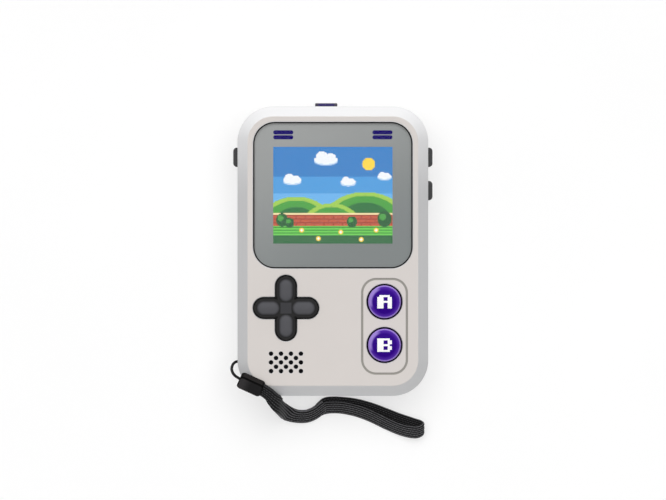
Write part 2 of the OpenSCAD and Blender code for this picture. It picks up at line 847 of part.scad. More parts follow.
module pad_oval() {
    half_w = pad_arm_w / 2 - 0.5;
    ball_r = (pow(half_w, 2) + pow(pad_oval_h, 2)) / (2 * pad_oval_h);
    near = 1.6 + half_w;
    far = pad_span / 2 - 0.5 - half_w;
    intersection() {
        translate([0, 0, pad_top + pad_oval_h - ball_r]) {
            translate([near, 0, 0]) sphere(ball_r);
            translate([far, 0, 0]) sphere(ball_r);
            translate([near, 0, 0]) rotate([0, 90, 0]) cylinder(far - near, r = ball_r);
        }
        translate([0, 0, pad_top - 0.3]) linear_extrude(2)
            translate([1.4, -pad_arm_w / 2]) square([pad_span / 2 - 1.6, pad_arm_w]);
    }
}

module direction_pad() {
    color("#2b2b2e") at_pad() difference() {
        union() {
            translate([0, 0, pad_low])
                cross_of_slots(pad_span + 2 * pad_flange, pad_arm_w + 2 * pad_flange, pad_flange_t);
            translate([0, 0, pad_low]) cross_of_slots(pad_span, pad_arm_w, pad_top - pad_edge - pad_low);
            for (a = [0, 90])
                translate([0, 0, pad_top - pad_edge]) rotate(a)
                    tapered_slot(pad_span, pad_arm_w, pad_edge, pad_edge / 2);
            for (a = [0 : 90 : 270]) rotate(a) pad_oval();
        }
        translate([0, 0, pivot_z]) sphere(pivot_r + pivot_fit);
    }
}

module pad_pivot() {
    color("#c9ccd0") at_pad() translate([0, 0, pivot_z]) sphere(pivot_r);
}

// A hollow rubber dome on a sheet, with a flat top
module dome(r) {
    translate([0, 0, membrane_t]) cylinder(dome_h, r, r - 0.8);
}

module dome_hollow(r) {
    translate([0, 0, -through]) cylinder(membrane_t + through, r = r - 0.9);
}

module pad_membrane() {
    sheet = pad_span + 2.2;
    color("#8b8f95") at_pad() translate([0, 0, board_z]) difference() {
        union() {
            slab(sheet, sheet, 5, membrane_t);
            for (a = [0 : 90 : 270]) rotate(a) translate([pad_nub, 0, 0]) dome(2.4);
        }
        for (a = [0 : 90 : 270]) rotate(a) translate([pad_nub, 0, 0]) dome_hollow(2.4);
        translate([0, 0, -through]) cylinder(membrane_t + 2 * through, r = pivot_r + 0.9);
    }
}

// Buttons

module button(y) {
    cap_r = button_d / 2;
    flange_r = cap_r + button_flange;
    stem_r = 3.1;
    edge = 0.6;
    dome_span = cap_r - edge;
    dome_r = (pow(dome_span, 2) + pow(button_dome, 2)) / (2 * button_dome);
    dome_angle = asin(dome_span / dome_r);
    dome_mid = [0, button_shoulder + button_dome - dome_r];
    profile = concat(
        [[0, button_low], [stem_r, button_low], [stem_r, button_flange_top - button_flange_t],
            [flange_r, button_flange_top - button_flange_t], [flange_r, button_flange_top],
            [cap_r, button_flange_top]],
        arc([cap_r - edge, button_shoulder - edge], edge, 0, 90 - dome_angle, 6),
        arc(dome_mid, dome_r, 90 - dome_angle, 90, 10)
    );
    translate([button_x, y, 0]) rotate_extrude() polygon(profile);
}

module button_a() {
    color("#3a0a9a") button(button_ys[0]);
}

module button_b() {
    color("#3a0a9a") button(button_ys[1]);
}

module button_membrane() {
    color("#8b8f95") translate([0, 0, board_z]) difference() {
        union() {
            translate([button_x, button_mid_y, 0]) slab(button_d + 4.1, button_pitch + button_d + 4, 3, membrane_t);
            at_buttons() dome(4);
        }
        at_buttons() dome_hollow(4);
    }
}

// Side keys

module side_key(i) {
    face = case_w / 2 + key_proud;
    nose = 1.1;
    color("#4c4c50") at_key(i) {
        intersection() {
            side_bar(key_l, key_h, 0.7, key_inner_x, face);
            translate([face - 6, 0, -key_h]) slab(12, key_l, nose, 2 * key_h);
        }
        side_bar(key_l + 2 * key_flange, key_h + 1.4, 0.8, key_inner_x, key_flange_x);
    }
}

module side_key_left() {
    side_key(0);
}

module side_key_upper() {
    side_key(1);
}

module side_key_lower() {
    side_key(2);
}

module key_plunger(i) {
    color("#e4e0d6") at_key(i) translate([switch_x - plunger_depth + key_travel + fit, 0, 0]) rotate([0, 90, 0])
        cylinder(key_inner_x - switch_x + plunger_depth - key_travel - fit, r = plunger_r);
}

module key_plunger_left() {
    key_plunger(0);
}

module key_plunger_upper() {
    key_plunger(1);
}

module key_plunger_lower() {
    key_plunger(2);
}

module side_switches() {
    color("#39393c")
        for (i = [0 : 2])
            at_key(i) difference() {
                translate([switch_x - switch_w, -switch_l / 2, -switch_h / 2]) cube([switch_w, switch_l, switch_h]);
                translate([switch_x - plunger_depth, 0, 0]) rotate([0, 90, 0])
                    cylinder(plunger_depth + through, r = plunger_r + fit);
            }
}

// Power slider

module power_knob() {
    face = case_h / 2 + knob_proud;
    inner = knob_flange_y - knob_flange_t;
    flange_l = knob_l + 2 * knob_travel + 1.6;
    color("#4b4672") translate([knob_x, 0, parting_z]) rotate(90) difference() {
        union() {
            intersection() {
                side_bar(knob_l, knob_h, 0.7, inner, face);
                translate([face - 6, 0, -knob_h]) slab(12, knob_l, 0.25, 2 * knob_h);
            }
            side_bar(flange_l, knob_h + 1.6, 0.8, inner, knob_flange_y);
            side_bar(4.4, switch_h - 2 * seat_gap, 0.5, inner - knob_socket, inner + fit);
        }
        translate([inner - knob_socket, 0, 0]) cube([3.2, lever_w + fit, lever_w + fit], center = true);
    }
}

module power_lever() {
    inner = knob_flange_y - knob_flange_t;
    color("#e4e0d6") translate([knob_x, 0, parting_z])
        translate([-lever_w / 2, power_switch_y - 1.4, -lever_w / 2])
            cube([lever_w, inner - power_switch_y + 1.4, lever_w]);
}

module power_switch() {
    color("#9b9ea2") difference() {
        translate([-power_switch_w / 2, power_switch_y - power_switch_d, parting_z - switch_h / 2])
            cube([power_switch_w, power_switch_d, switch_h]);
        translate([0, power_switch_y, parting_z])
            cube([knob_travel + lever_w + 2 * slide_gap, 3.2, lever_w + 2 * slide_gap], center = true);
    }
}

// Main board

module main_board() {
    color("#1f6b45") translate([0, 0, board_bottom]) difference() {
        slab(board_w, board_h, board_r, board_t);
        at_bosses() translate([0, 0, -through]) cylinder(board_t + 2 * through, r = boss_r + seat_gap);
        at_board_screws() translate([0, 0, -through]) cylinder(board_t + 2 * through, d = board_screw_d + 2 * slide_gap);
    }
}

module board_screws() {
    color("#8d9094")
        at_board_screws() translate([0, 0, board_bottom])
            screw(board_screw_d, board_screw_head_d, board_screw_head_t, board_t + 2.2);
}

// Parts under the board hang from its lower face
module under_board(x, y) {
    translate([x, from_bottom(y), board_bottom]) mirror([0, 0, 1]) children();
}

module game_chip() {
    blob_r = 4.4;
    blob_h = 1.5;
    ball_r = (pow(blob_r, 2) + pow(blob_h, 2)) / (2 * blob_h);
    edge = asin(blob_r / ball_r);
    color("#141416") under_board(chip_x, 8.4)
        rotate_extrude() polygon(concat([[0, 0]], arc([0, blob_h - ball_r], ball_r, 90 - edge, 90, 10)));
}

module sound_amplifier() {
    lead_pitch = 1.27;
    color("#1b1b1e") under_board(amplifier_x, 7) {
        translate([-2.5, -2, 0.1]) cube([5, 4, 1.4]);
        for (i = [-1.5 : 1.5], s = [-1, 1])
            translate([i * lead_pitch - 0.2, s > 0 ? 1.9 : -2.9, 0]) cube([0.4, 1, 0.5]);
    }
}

module crystal_can() {
    can_l = 9.4;
    can_w = 3.6;
    foot = 0.4;
    color("#c4c8cc") under_board(crystal_x, 7) {
        slot(can_l + 2 * foot, can_w + 2 * foot, 0.5);
        slot(can_l, can_w, 3);
    }
}

module filter_capacitors() {
    base = min(4, strip_w);
    can_h = 3.6;
    first_y = 20;
    pitch = 6;
    color("#a9b0b8")
        for (i = [0, 1])
            under_board(strip_x, first_y + i * pitch) {
                cylinder(can_h, d = base - 0.2);
                block([base, base, 0.5], 0);
            }
}

module chip_resistors() {
    columns = [[-strip_x, 18], [chip_x + 8, 9]];
    pitch = 2;
    color("#2a2a2c")
        for (c = columns, i = [0 : 3])
            under_board(c[0], c[1] + i * pitch) block([1.6, 0.8, 0.5], 0);
}

// Speaker

speaker_z = inner_z - fit - speaker_t;

module speaker_basket() {
    rim_w = 0.8;
    color("#55585c") at_speaker() translate([0, 0, speaker_z]) difference() {
        slab(speaker_w, speaker_h, 2.2, speaker_t);
        translate([0, 0, speaker_t - 1.1])
            slab(speaker_w - 2 * rim_w, speaker_h - 2 * rim_w, 2.2 - rim_w, 1.1 + through);
    }
}

module speaker_cone() {
    rim_w = 0.9;
    color("#1d1d20") at_speaker() translate([0, 0, speaker_z + speaker_t - 1.1]) {
        slab(speaker_w - 2 * rim_w, speaker_h - 2 * rim_w, 2.2 - rim_w, 0.3);
        translate([0, 0, 0.3]) tapered_slab(speaker_w - 4, speaker_h - 4, 1.6, 0.4, 0.8);
    }
}

// Swept tubes and ribbons

function unit(v) = v / norm(v);

function tangent(path, i) = unit(path[min(i + 1, len(path) - 1)] - path[max(i - 1, 0)]);

function square_to(v, t) = unit(v - (v * t) * t);

// A smooth curve through the points of a route
function curve_point(p, i, s) =
    let (last = len(p) - 1, a = p[max(i - 1, 0)], b = p[i], c = p[i + 1], d = p[min(i + 2, last)])
    b + 0.5 * s * (c - a + s * (2 * a - 5 * b + 4 * c - d + s * (3 * (b - c) + d - a)));

function smooth(p, steps) =
    concat([for (i = [0 : len(p) - 2], k = [0 : steps - 1]) curve_point(p, i, k / steps)], [p[len(p) - 1]]);

// Side directions along a path, carried on from one ring to the next
function carried(path, v, i = 0) =
    i == len(path) ? [] : let (n = square_to(v, tangent(path, i))) concat([n], carried(path, n, i + 1));

// Side directions that all lean the same way
function leaning(path, v) = [for (i = [0 : len(path) - 1]) square_to(v, tangent(path, i))];

module sweep(path, sides, section) {
    count = len(section);
    rings = len(path);
    points = [
        for (i = [0 : rings - 1]) let (u = sides[i], v = cross(tangent(path, i), u))
        for (q = section) path[i] + q[0] * u + q[1] * v
    ];
    walls = [
        for (i = [0 : rings - 2], k = [0 : count - 1])
        let (a = i * count + k, b = i * count + (k + 1) % count)
        each [[a, a + count, b], [b, a + count, b + count]]
    ];
    last = (rings - 1) * count;
    caps = [
        for (k = [1 : count - 2])
        each [[0, k, k + 1], [last, last + k + 1, last + k]]
    ];
    polyhedron(points, concat(walls, caps), convexity = 8);
}

function round_section(r, count) = [for (k = [0 : count - 1]) r * [cos(360 * k / count), sin(360 * k / count)]];

function flat_section(w, t) = [
    [w / 2, -t / 4], [w / 2, t / 4], [w / 2 - t / 4, t / 2], [-w / 2 + t / 4, t / 2],
    [-w / 2, t / 4], [-w / 2, -t / 4], [-w / 2 + t / 4, -t / 2], [w / 2 - t / 4, -t / 2]
];

module tube(path, r, count, side) {
    sweep(path, carried(path, side), round_section(r, count));
}

lead_r = 0.35;

module speaker_leads() {
    x0 = pad_x + speaker_w / 2;
    x1 = x0 + 1.7;
    z0 = speaker_z + 0.7;
    straight = lead_r;
    color("#b02a2a")
        for (y = [speaker_y + 0.8, speaker_y - 0.8])
            tube(smooth([
                [x0, y, z0], [x0 + straight / 2, y, z0], [x0 + straight, y, z0],
                [x1 - 0.4, y, z0 - 0.2],
                [x1, y, board_z + straight], [x1, y, board_z + straight / 2], [x1, y, board_z]
            ], 3), lead_r, 8, [0, 1, 0]);
}

// Cells and contacts

module cell(x, up) {
    nub_r = 1.9;
    nub_h = 1.2;
    shoulder = 0.5;
    r = cell_d / 2;
    body = cell_l - nub_h;
    positive_y = bay_l / 2 - contact_t - fit / 2;
    profile = [
        [0, 0], [r - 1.2, 0], [r - 1, 0.3], [r - shoulder, 0.3], [r, 0.3 + shoulder], [r, body - shoulder],
        [r - shoulder, body], [nub_r, body], [nub_r, cell_l], [0, cell_l]
    ];
    translate([x, 0, cell_z]) mirror([0, up ? 0 : 1, 0])
        translate([0, positive_y - cell_l, 0]) rotate([-90, 0, 0]) rotate_extrude() polygon(profile);
}

module cell_left() {
    color("#2e3136") cell(-cell_pitch, true);
}

module cell_middle() {
    color("#2e3136") cell(0, false);
}

module cell_right() {
    color("#2e3136") cell(cell_pitch, true);
}

// A contact spring: a cone of turns from the plate to the cell, flat at both ends
spring_turns = 4;
spring_wide = 3.6;
spring_narrow = 2.4;
spring_rings = 10;

function spring_point(s) =
    let (
        a = 360 * spring_turns * s,
        r = spring_wide + (spring_narrow - spring_wide) * s,
        rise = spring_l - spring_wire - 2 * fit
    )
    [r * cos(a), spring_wire / 2 + fit + rise * s, r * sin(a)];

spring_path = [for (i = [0 : spring_turns * spring_rings]) spring_point(i / (spring_turns * spring_rings))];

spring_gap = min([
    for (i = [0 : (spring_turns - 1) * spring_rings]) norm(spring_path[i + spring_rings] - spring_path[i])
]) - spring_wire;
echo(spring_least_gap = spring_gap);

module battery_springs() {
    color("#c0c4c8")
        for (i = [-1 : 1])
            translate([i * cell_pitch, 0, cell_z]) mirror([0, i == 0 ? 1 : 0, 0])
                translate([0, -bay_l / 2 + contact_t, 0])
                    sweep(spring_path, carried(spring_path, [0, 1, 0]), round_section(spring_wire / 2, 6));
}

// One plate across the cells from x0 to x1, at the top end (s = 1) or the bottom end (s = -1)
module contact_plate(x0, x1, s) {
    half = 4;
    translate([x0 - half, s > 0 ? bay_l / 2 - contact_t : -bay_l / 2, contact_z])
        cube([x1 - x0 + 2 * half, contact_t, contact_h]);
}

module contact_tab(x, s) {
    reach = contact_t + bay_wall + contact_tab_out;
    translate([x - contact_tab_w / 2, s > 0 ? bay_l / 2 - contact_t : -bay_l / 2 - reach + contact_t,
        contact_tab_z - contact_t / 2]) cube([contact_tab_w, reach, contact_t]);
}

module battery_contacts() {
    color("#b9bdb4") {
        contact_plate(-cell_pitch, -cell_pitch, 1);
        contact_tab(-contact_tab_x, 1);
        contact_plate(0, cell_pitch, 1);
        contact_plate(-cell_pitch, 0, -1);
        contact_plate(cell_pitch, cell_pitch, -1);
        contact_tab(contact_tab_x, -1);
    }
}

module battery_lead(x, s) {
    y0 = s * (bay_l / 2 + bay_wall + contact_tab_out / 2);
    y1 = y0 + s * 1.8;
    z0 = contact_tab_z + contact_t / 2;
    z1 = board_bottom;
    straight = 2 * lead_r;
    tube(smooth([
        [x, y0, z0], [x, y0, z0 + straight / 2], [x, y0, z0 + straight],
        [x, (y0 + y1) / 2, (z0 + z1) / 2],
        [x, y1, z1 - straight], [x, y1, z1 - straight / 2], [x, y1, z1]
    ], 3), lead_r, 8, [1, 0, 0]);
}

module battery_lead_positive() {
    color("#b02a2a") battery_lead(-contact_tab_x, 1);
}

module battery_lead_negative() {
    color("#1e1e20") battery_lead(contact_tab_x, -1);
}

// Wrist strap

module strap_cord() {
    color("#1a1a1c") tube(smooth(cord_route, 2), cord_d / 2, 8, [0, 0, 1]);
}

// The ferrule lies along the webbing's first stretch and leans with it
ferrule_x = unit(tail_route[1] - ferrule_mid);
ferrule_y = square_to(webbing_lean, ferrule_x);
ferrule_z = cross(ferrule_x, ferrule_y);

module strap_ferrule() {
    edge = 0.4;
    frame = [
        [ferrule_x[0], ferrule_y[0], ferrule_z[0], ferrule_mid[0]],
        [ferrule_x[1], ferrule_y[1], ferrule_z[1], ferrule_mid[1]],
        [ferrule_x[2], ferrule_y[2], ferrule_z[2], ferrule_mid[2]],
        [0, 0, 0, 1]
    ];
    color("#202022") multmatrix(frame) {
        translate([0, 0, -ferrule_t / 2 + edge]) slab(ferrule_l, ferrule_w, 1.1, ferrule_t - 2 * edge);
        for (m = [0, 1])
            mirror([0, 0, m]) translate([0, 0, ferrule_t / 2 - edge])
                tapered_slab(ferrule_l, ferrule_w, 1.1, edge, edge);
    }
}

module strap_webbing() {
    tail = smooth(tail_route, 3);
    loop = smooth(loop_route, 3);
    color("#232325") {
        sweep(tail, leaning(tail, webbing_lean), flat_section(webbing_w, 2 * webbing_t));
        sweep(loop, leaning(loop, webbing_lean), flat_section(webbing_w, webbing_t));
    }
}

front_shell();
rear_shell();
case_screws();
battery_door();
door_screw();
window_plate();
window_print();
window_gasket();
display_glass();
display_backlight();
display_foam();
display_cable();
display_socket();
direction_pad();
pad_pivot();
pad_membrane();
button_a();
button_b();
button_membrane();
side_key_left();
side_key_upper();
side_key_lower();
key_plunger_left();
key_plunger_upper();
key_plunger_lower();
side_switches();
power_knob();
power_switch();
power_lever();
main_board();
board_screws();
game_chip();
sound_amplifier();
crystal_can();
filter_capacitors();
chip_resistors();
speaker_basket();
speaker_cone();
speaker_leads();
cell_left();
cell_middle();
cell_right();
battery_springs();
battery_contacts();
battery_lead_positive();
battery_lead_negative();
strap_cord();
strap_ferrule();
strap_webbing();
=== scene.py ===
"""A pocket handheld game console with a wrist strap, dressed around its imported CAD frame."""

import math

import bmesh
import bpy
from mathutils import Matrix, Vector


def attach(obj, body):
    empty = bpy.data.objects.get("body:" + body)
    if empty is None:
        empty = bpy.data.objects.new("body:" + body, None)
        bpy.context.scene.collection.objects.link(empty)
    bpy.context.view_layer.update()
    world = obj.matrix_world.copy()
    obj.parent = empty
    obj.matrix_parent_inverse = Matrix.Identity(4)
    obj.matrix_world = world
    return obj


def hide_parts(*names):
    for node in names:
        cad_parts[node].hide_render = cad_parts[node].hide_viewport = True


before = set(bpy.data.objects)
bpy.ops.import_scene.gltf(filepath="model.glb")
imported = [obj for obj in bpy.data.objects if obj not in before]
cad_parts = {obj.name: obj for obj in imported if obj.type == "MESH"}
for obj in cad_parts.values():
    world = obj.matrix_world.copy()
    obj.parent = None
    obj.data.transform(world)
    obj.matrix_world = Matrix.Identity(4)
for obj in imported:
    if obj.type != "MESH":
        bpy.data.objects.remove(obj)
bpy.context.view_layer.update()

MM = 0.001
scene = bpy.context.scene
scene.view_settings.view_transform = "Standard"


def place(obj):
    """Puts an object in the scene."""
    scene.collection.objects.link(obj)
    return obj


# Camera: straight at the front, from far enough that almost no perspective shows

FRONT_Z = 21.0 * MM
VIEW_WIDTH = 195.3 * MM
VIEW_CENTRE = (0.04 * MM, 0.33 * MM)
LENS_MM = 400.0
SENSOR_MM = 36.0

camera_data = bpy.data.cameras.new("camera")
camera_data.lens = LENS_MM
camera_data.sensor_width = SENSOR_MM
camera = place(bpy.data.objects.new("camera", camera_data))
camera.location = (*VIEW_CENTRE, FRONT_Z + VIEW_WIDTH * LENS_MM / SENSOR_MM)
scene.camera = camera

# Swept strips

CASE_CORNER = Vector((-28.0, -42.5, 0.0))
FINE_STEPS = 32


def curve_points(route, step):
    """Evenly spaced points in metres on a smooth curve through a route, and the curve's length.
    The route is in millimetres from the case's corner."""
    p = [(CASE_CORNER + Vector(q)) * MM for q in route]
    fine = []
    for i in range(len(p) - 1):
        a, b, c, d = p[max(i - 1, 0)], p[i], p[i + 1], p[min(i + 2, len(p) - 1)]
        for k in range(FINE_STEPS):
            s = k / FINE_STEPS
            fine.append(b + 0.5 * s * (c - a + s * (2 * a - 5 * b + 4 * c - d + s * (3 * (b - c) + d - a))))
    fine.append(p[-1])
    length = sum((fine[i + 1] - fine[i]).length for i in range(len(fine) - 1))
    count = round(length / step)
    points, travelled, i = [fine[0]], 0.0, 0
    for k in range(1, count):
        goal = length * k / count
        while travelled + (fine[i + 1] - fine[i]).length < goal:
            travelled += (fine[i + 1] - fine[i]).length
            i += 1
        stretch = fine[i + 1] - fine[i]
        points.append(fine[i] + stretch * ((goal - travelled) / stretch.length))
    return points + [fine[-1]], length


def tangent(path, i):
    """The direction of a path at its point i."""
    return (path[min(i + 1, len(path) - 1)] - path[max(i - 1, 0)]).normalized()


def squared(v, t):
    """The direction nearest to v at right angles to t."""
    return (v - v.dot(t) * t).normalized()


def leaning(path, lean):
    """Side directions that all lean the same way."""
    return [squared(lean, tangent(path, i)) for i in range(len(path))]


def carried(path, side):
    """Side directions carried on from one ring to the next."""
    sides = []
    for i in range(len(path)):
        side = squared(side, tangent(path, i))
        sides.append(side)
    return sides


def tube_faces(count, rings):
    """Faces of a tube of rings with count points each, closed at both ends."""
    faces = [
        (i * count + k, i * count + (k + 1) % count, (i + 1) * count + (k + 1) % count, (i + 1) * count + k)
        for i in range(rings - 1)
        for k in range(count)
    ]
    return faces + [tuple(range(count)), tuple(range((rings - 1) * count, rings * count))]


def mesh_object(name, points, faces, material=None):
    """A mesh object with its normals outward and smooth shading."""
    mesh = bpy.data.meshes.new(name)
    mesh.from_pydata([tuple(p) for p in points], [], faces)
    b = bmesh.new()
    b.from_mesh(mesh)
    bmesh.ops.recalc_face_normals(b, faces=b.faces)
    b.to_mesh(mesh)
    b.free()
    mesh.polygons.foreach_set("use_smooth", [True] * len(mesh.polygons))
    if material:
        mesh.materials.append(material)
    return place(bpy.data.objects.new(name, mesh))


def mark_crests(obj, crests):
    """Keeps, for the strap's material, how far each vertex stands out of the weave, from 0 to 1, which sets
    its painted highlight.
    """
    obj.data.attributes.new("crest", "FLOAT", "POINT").data.foreach_set("value", crests)
    return obj


def sweep(name, path, sides, section):
    """A closed strip: section(s) gives its outline at the distance s along the path.
    Each point of the outline comes with its crest."""
    points, crests, travelled = [], [], 0.0
    for i, p in enumerate(path):
        if i:
            travelled += (p - path[i - 1]).length
        u, v = sides[i], tangent(path, i).cross(sides[i])
        for a, b, crest in section(travelled):
            points.append(p + a * u + b * v)
            crests.append(crest)
    faces = tube_faces(len(section(0.0)), len(path))
    return mark_crests(mesh_object(name, points, faces), crests)


# Wrist strap, on the routes of the CAD source

CORD_ROUTE = [
    (1.7, 4.4, 22.2), (0.5, 5.2, 22.2), (-0.6, 5.9, 21.6), (-1.4, 6.8, 19.9),
    (-1.75, 7.9, 17.2), (-1.5, 9, 14.2), (-0.9, 9.7, 12.1), (0, 10, 11.3),
    (1.1, 10, 11), (2, 10, 10.2), (2.3, 10, 9), (2, 10, 7.8),
    (1.1, 10, 7), (0, 10, 6.7), (-0.9, 9.7, 7.1), (-1.5, 9, 8.8),
    (-1.75, 7.9, 12.2), (-1.4, 6.8, 16), (-0.6, 5.9, 19.2), (0.5, 5.2, 20.8),
    (1.7, 4.4, 21.2),
]
TAIL_ROUTE = [
    (6, 2.5, 21.7), (7.2, 1.95, 21.7), (9.2, 0.6, 21.6), (10.7, -0.95, 20.8),
    (11.8, -2.5, 18.6), (12.4, -3.4, 15.2), (12.9, -4.05, 11.2), (13.5, -4.65, 7.4),
    (14.5, -5.4, 4.5), (16.3, -6.1, 2.95), (18.3, -6.4, 2.35), (20.3, -6.3, 2.2),
    (22, -5.7, 2.2), (23.4, -4.85, 2.2), (24.6, -3.9, 2.2), (25.7, -3.2, 2.15),
]
LOOP_ROUTE = [
    (23.6, -4.95, 1.95), (25.3, -4.15, 1.9), (27.3, -3.8, 1.9), (30.7, -3.9, 1.9),
    (35, -4.8, 1.9), (39.3, -6.4, 1.9), (43.5, -8.45, 2.05), (47.2, -10.05, 2.7),
    (50.2, -10.9, 3.8), (52.6, -11.1, 4.6), (54.1, -10.65, 4.35), (54.75, -9.95, 3.65),
    (54.1, -9.25, 2.8), (51.6, -8.45, 2.1), (47.5, -7.1, 1.9), (43.5, -5.55, 1.9),
    (39.3, -4, 1.9), (35, -2.85, 1.9), (30.7, -2.3, 1.9), (27.6, -2.2, 1.9),
    (25.7, -2.5, 1.9), (24.4, -3.4, 1.95), (23.5, -4.3, 2),
]
CORD_D = 0.8 * MM
CORD_SIDES = 24
CORD_STEP = 0.1 * MM
BRAID_PITCH = 1.6 * MM
BRAID_DEPTH = 0.1
WEBBING_W = 4.4 * MM
WEBBING_T = 0.7 * MM
WEBBING_STEP = 0.14 * MM
WEBBING_LEAN = Vector((0.0, 0.75, 0.66))
SELVEDGE = 0.18 * MM
PLY_NOTCH = 0.16 * MM
RIBS = 5
RIB_POINTS = 8
RIB_DEPTH = 0.13 * MM
KNIT_PITCH = 0.85 * MM
KNIT_DEPTH = 0.07 * MM

# Painted highlight on the crests of the weave, from 0 to 1, and the length of the darker stretch beside the
# ferrule
CORD_CREST = 0.7
SELVEDGE_CREST = 0.85
KNIT_CREST = 0.15
# The double strap's crests are darker near the ferrule, where it starts.
START_CREST = 0.82
START_LENGTH = 20.0 * MM
# Painted shade on the inside of the loop: its crests get less highlight.
INSIDE_SHADED_CREST = 0.83


def braided(s):
    """A round cord's outline with crossing strands in relief."""
    points = []
    turn = 2 * math.pi * s / BRAID_PITCH
    for k in range(CORD_SIDES):
        a = 2 * math.pi * k / CORD_SIDES
        strand = max(abs(math.cos(2 * a + turn)), abs(math.cos(2 * a - turn)))
        r = CORD_D / 2 * (1 - BRAID_DEPTH + BRAID_DEPTH * strand)
        points.append((r * math.cos(a), r * math.sin(a), CORD_CREST * strand))
    return points


def ribbed(plies):
    """The outline of a knitted webbing of one or two plies, with ribs along it on both faces.
    The double stretch is darker beside the ferrule, where it starts, and the loop has painted shade on its
    inside."""
    half_t = plies * WEBBING_T / 2
    edge = WEBBING_W / 2
    inside_shade = INSIDE_SHADED_CREST if plies == 1 else 1.0
    if plies == 1:
        side = [(edge, half_t * 0.4), (edge, -half_t * 0.4)]
    else:
        side = [(edge, half_t * 0.7), (edge, half_t * 0.2), (edge - PLY_NOTCH, 0.0),
                (edge, -half_t * 0.2), (edge, -half_t * 0.7)]

    def section(s):
        """The outline at the distance s."""
        # Darker crests where the double strap starts.
        crest_level = 1.0 if plies == 1 else START_CREST + (1 - START_CREST) * min(s / START_LENGTH, 1.0) ** 2
        face = []
        for k in range(RIBS * RIB_POINTS + 1):
            share = k / (RIBS * RIB_POINTS)
            rib = abs(math.sin(math.pi * RIBS * share)) ** 0.8
            row = min(int(share * RIBS), RIBS - 1)
            knit = 0.5 + 0.5 * math.cos(2 * math.pi * s / KNIT_PITCH + math.pi * (row % 2))
            height = half_t - RIB_DEPTH * (1 - rib) - KNIT_DEPTH * (1 - knit) * rib
            crest = crest_level * rib * (1 - KNIT_CREST + KNIT_CREST * knit)
            face.append(((0.5 - share) * (WEBBING_W - 2 * SELVEDGE), height, crest))
        # Painted shade on the loop's inside.
        under = [(-a, -b, inside_shade * crest) for a, b, crest in face]
        left = [(-a, b, crest_level * SELVEDGE_CREST) for a, b in side]
        right = [(a, -b, crest_level * SELVEDGE_CREST) for a, b in side]
        return face + left + under + right

    return section


cord_path, cord_length = curve_points(CORD_ROUTE, CORD_STEP)
tail_path, tail_length = curve_points(TAIL_ROUTE, WEBBING_STEP)
loop_path, loop_length = curve_points(LOOP_ROUTE, WEBBING_STEP)
strap_cord = sweep("strap_cord_braid", cord_path, carried(cord_path, Vector((0, 0, 1))), braided)
strap_tail = sweep("strap_tail_webbing", tail_path, leaning(tail_path, WEBBING_LEAN), ribbed(2))
strap_loop = sweep("strap_loop_webbing", loop_path, leaning(loop_path, WEBBING_LEAN), ribbed(1))

# Stitches that close the double stretch

SEAM_FROM, SEAM_TO = 0.905, 0.985
SEAM_ROWS = 4
SEAM_COLUMNS = 5
SEAM_W = WEBBING_W - 0.7 * MM
SEAM_SLANT = 0.5
STITCH_HALF = 0.24 * MM
STITCH_R = 0.09 * MM
STITCH_SINK = 0.03 * MM
STITCH_SIDES = 8
STITCH_RINGS = 7


def stitch_points(start, end):
    """Rings of one stitch: a short round bar with pointed ends."""
    along = (end - start).normalized()
    u = along.orthogonal().normalized()
    v = along.cross(u)
    points = []
    for i in range(STITCH_RINGS):
        share = (i + 0.5) / STITCH_RINGS
        r = STITCH_R * math.sin(math.pi * share) ** 0.5
        centre = start + (end - start) * share
        for k in range(STITCH_SIDES):
            a = 2 * math.pi * k / STITCH_SIDES
            points.append(centre + r * (math.cos(a) * u + math.sin(a) * v))
    return points


def seam(name, path, plies):
    """Rows of short stitches on both faces of a webbing, near the end of its path."""
    sides = leaning(path, WEBBING_LEAN)
    points, faces = [], []
    for row in range(SEAM_ROWS):
        share = SEAM_FROM + (SEAM_TO - SEAM_FROM) * row / (SEAM_ROWS - 1)
        i = round(share * (len(path) - 1))
        u, v = sides[i], tangent(path, i).cross(sides[i])
        half = STITCH_HALF * (u + SEAM_SLANT * tangent(path, i)).normalized()
        for column in range(SEAM_COLUMNS):
            a = ((column + 0.5) / SEAM_COLUMNS - 0.5) * SEAM_W
            for face in (-1, 1):
                at = path[i] + a * u + face * (plies * WEBBING_T / 2 - STITCH_SINK) * v
                stitch = tube_faces(STITCH_SIDES, STITCH_RINGS)
                faces += [tuple(k + len(points) for k in f) for f in stitch]
                points += stitch_points(at - half, at + half)
    return mark_crests(mesh_object(name, points, faces), [1.0] * len(points))


strap_stitches = seam("strap_stitches", tail_path, 2)
strap_pieces = (strap_cord, strap_tail, strap_loop, strap_stitches)
for piece in strap_pieces:
    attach(piece, "console")
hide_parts("strap_cord")
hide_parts("strap_webbing")
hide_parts("strap_webbing")

# Shader helpers

WHITE = (1.0, 1.0, 1.0, 1.0)
BLACK = (0.0, 0.0, 0.0, 1.0)
NOISE_MIDDLE = (0.3, 0.7)


def srgb(r, g, b):
    """A screen colour from 0 to 255 as the linear colour that shaders take."""
    return (*[(c / 255 / 12.92 if c <= 10 else ((c / 255 + 0.055) / 1.055) ** 2.4) for c in (r, g, b)], 1.0)


def scaled(colour, factor):
    """A colour made darker or lighter."""
    return (*[min(c * factor, 1.0) for c in colour[:3]], 1.0)


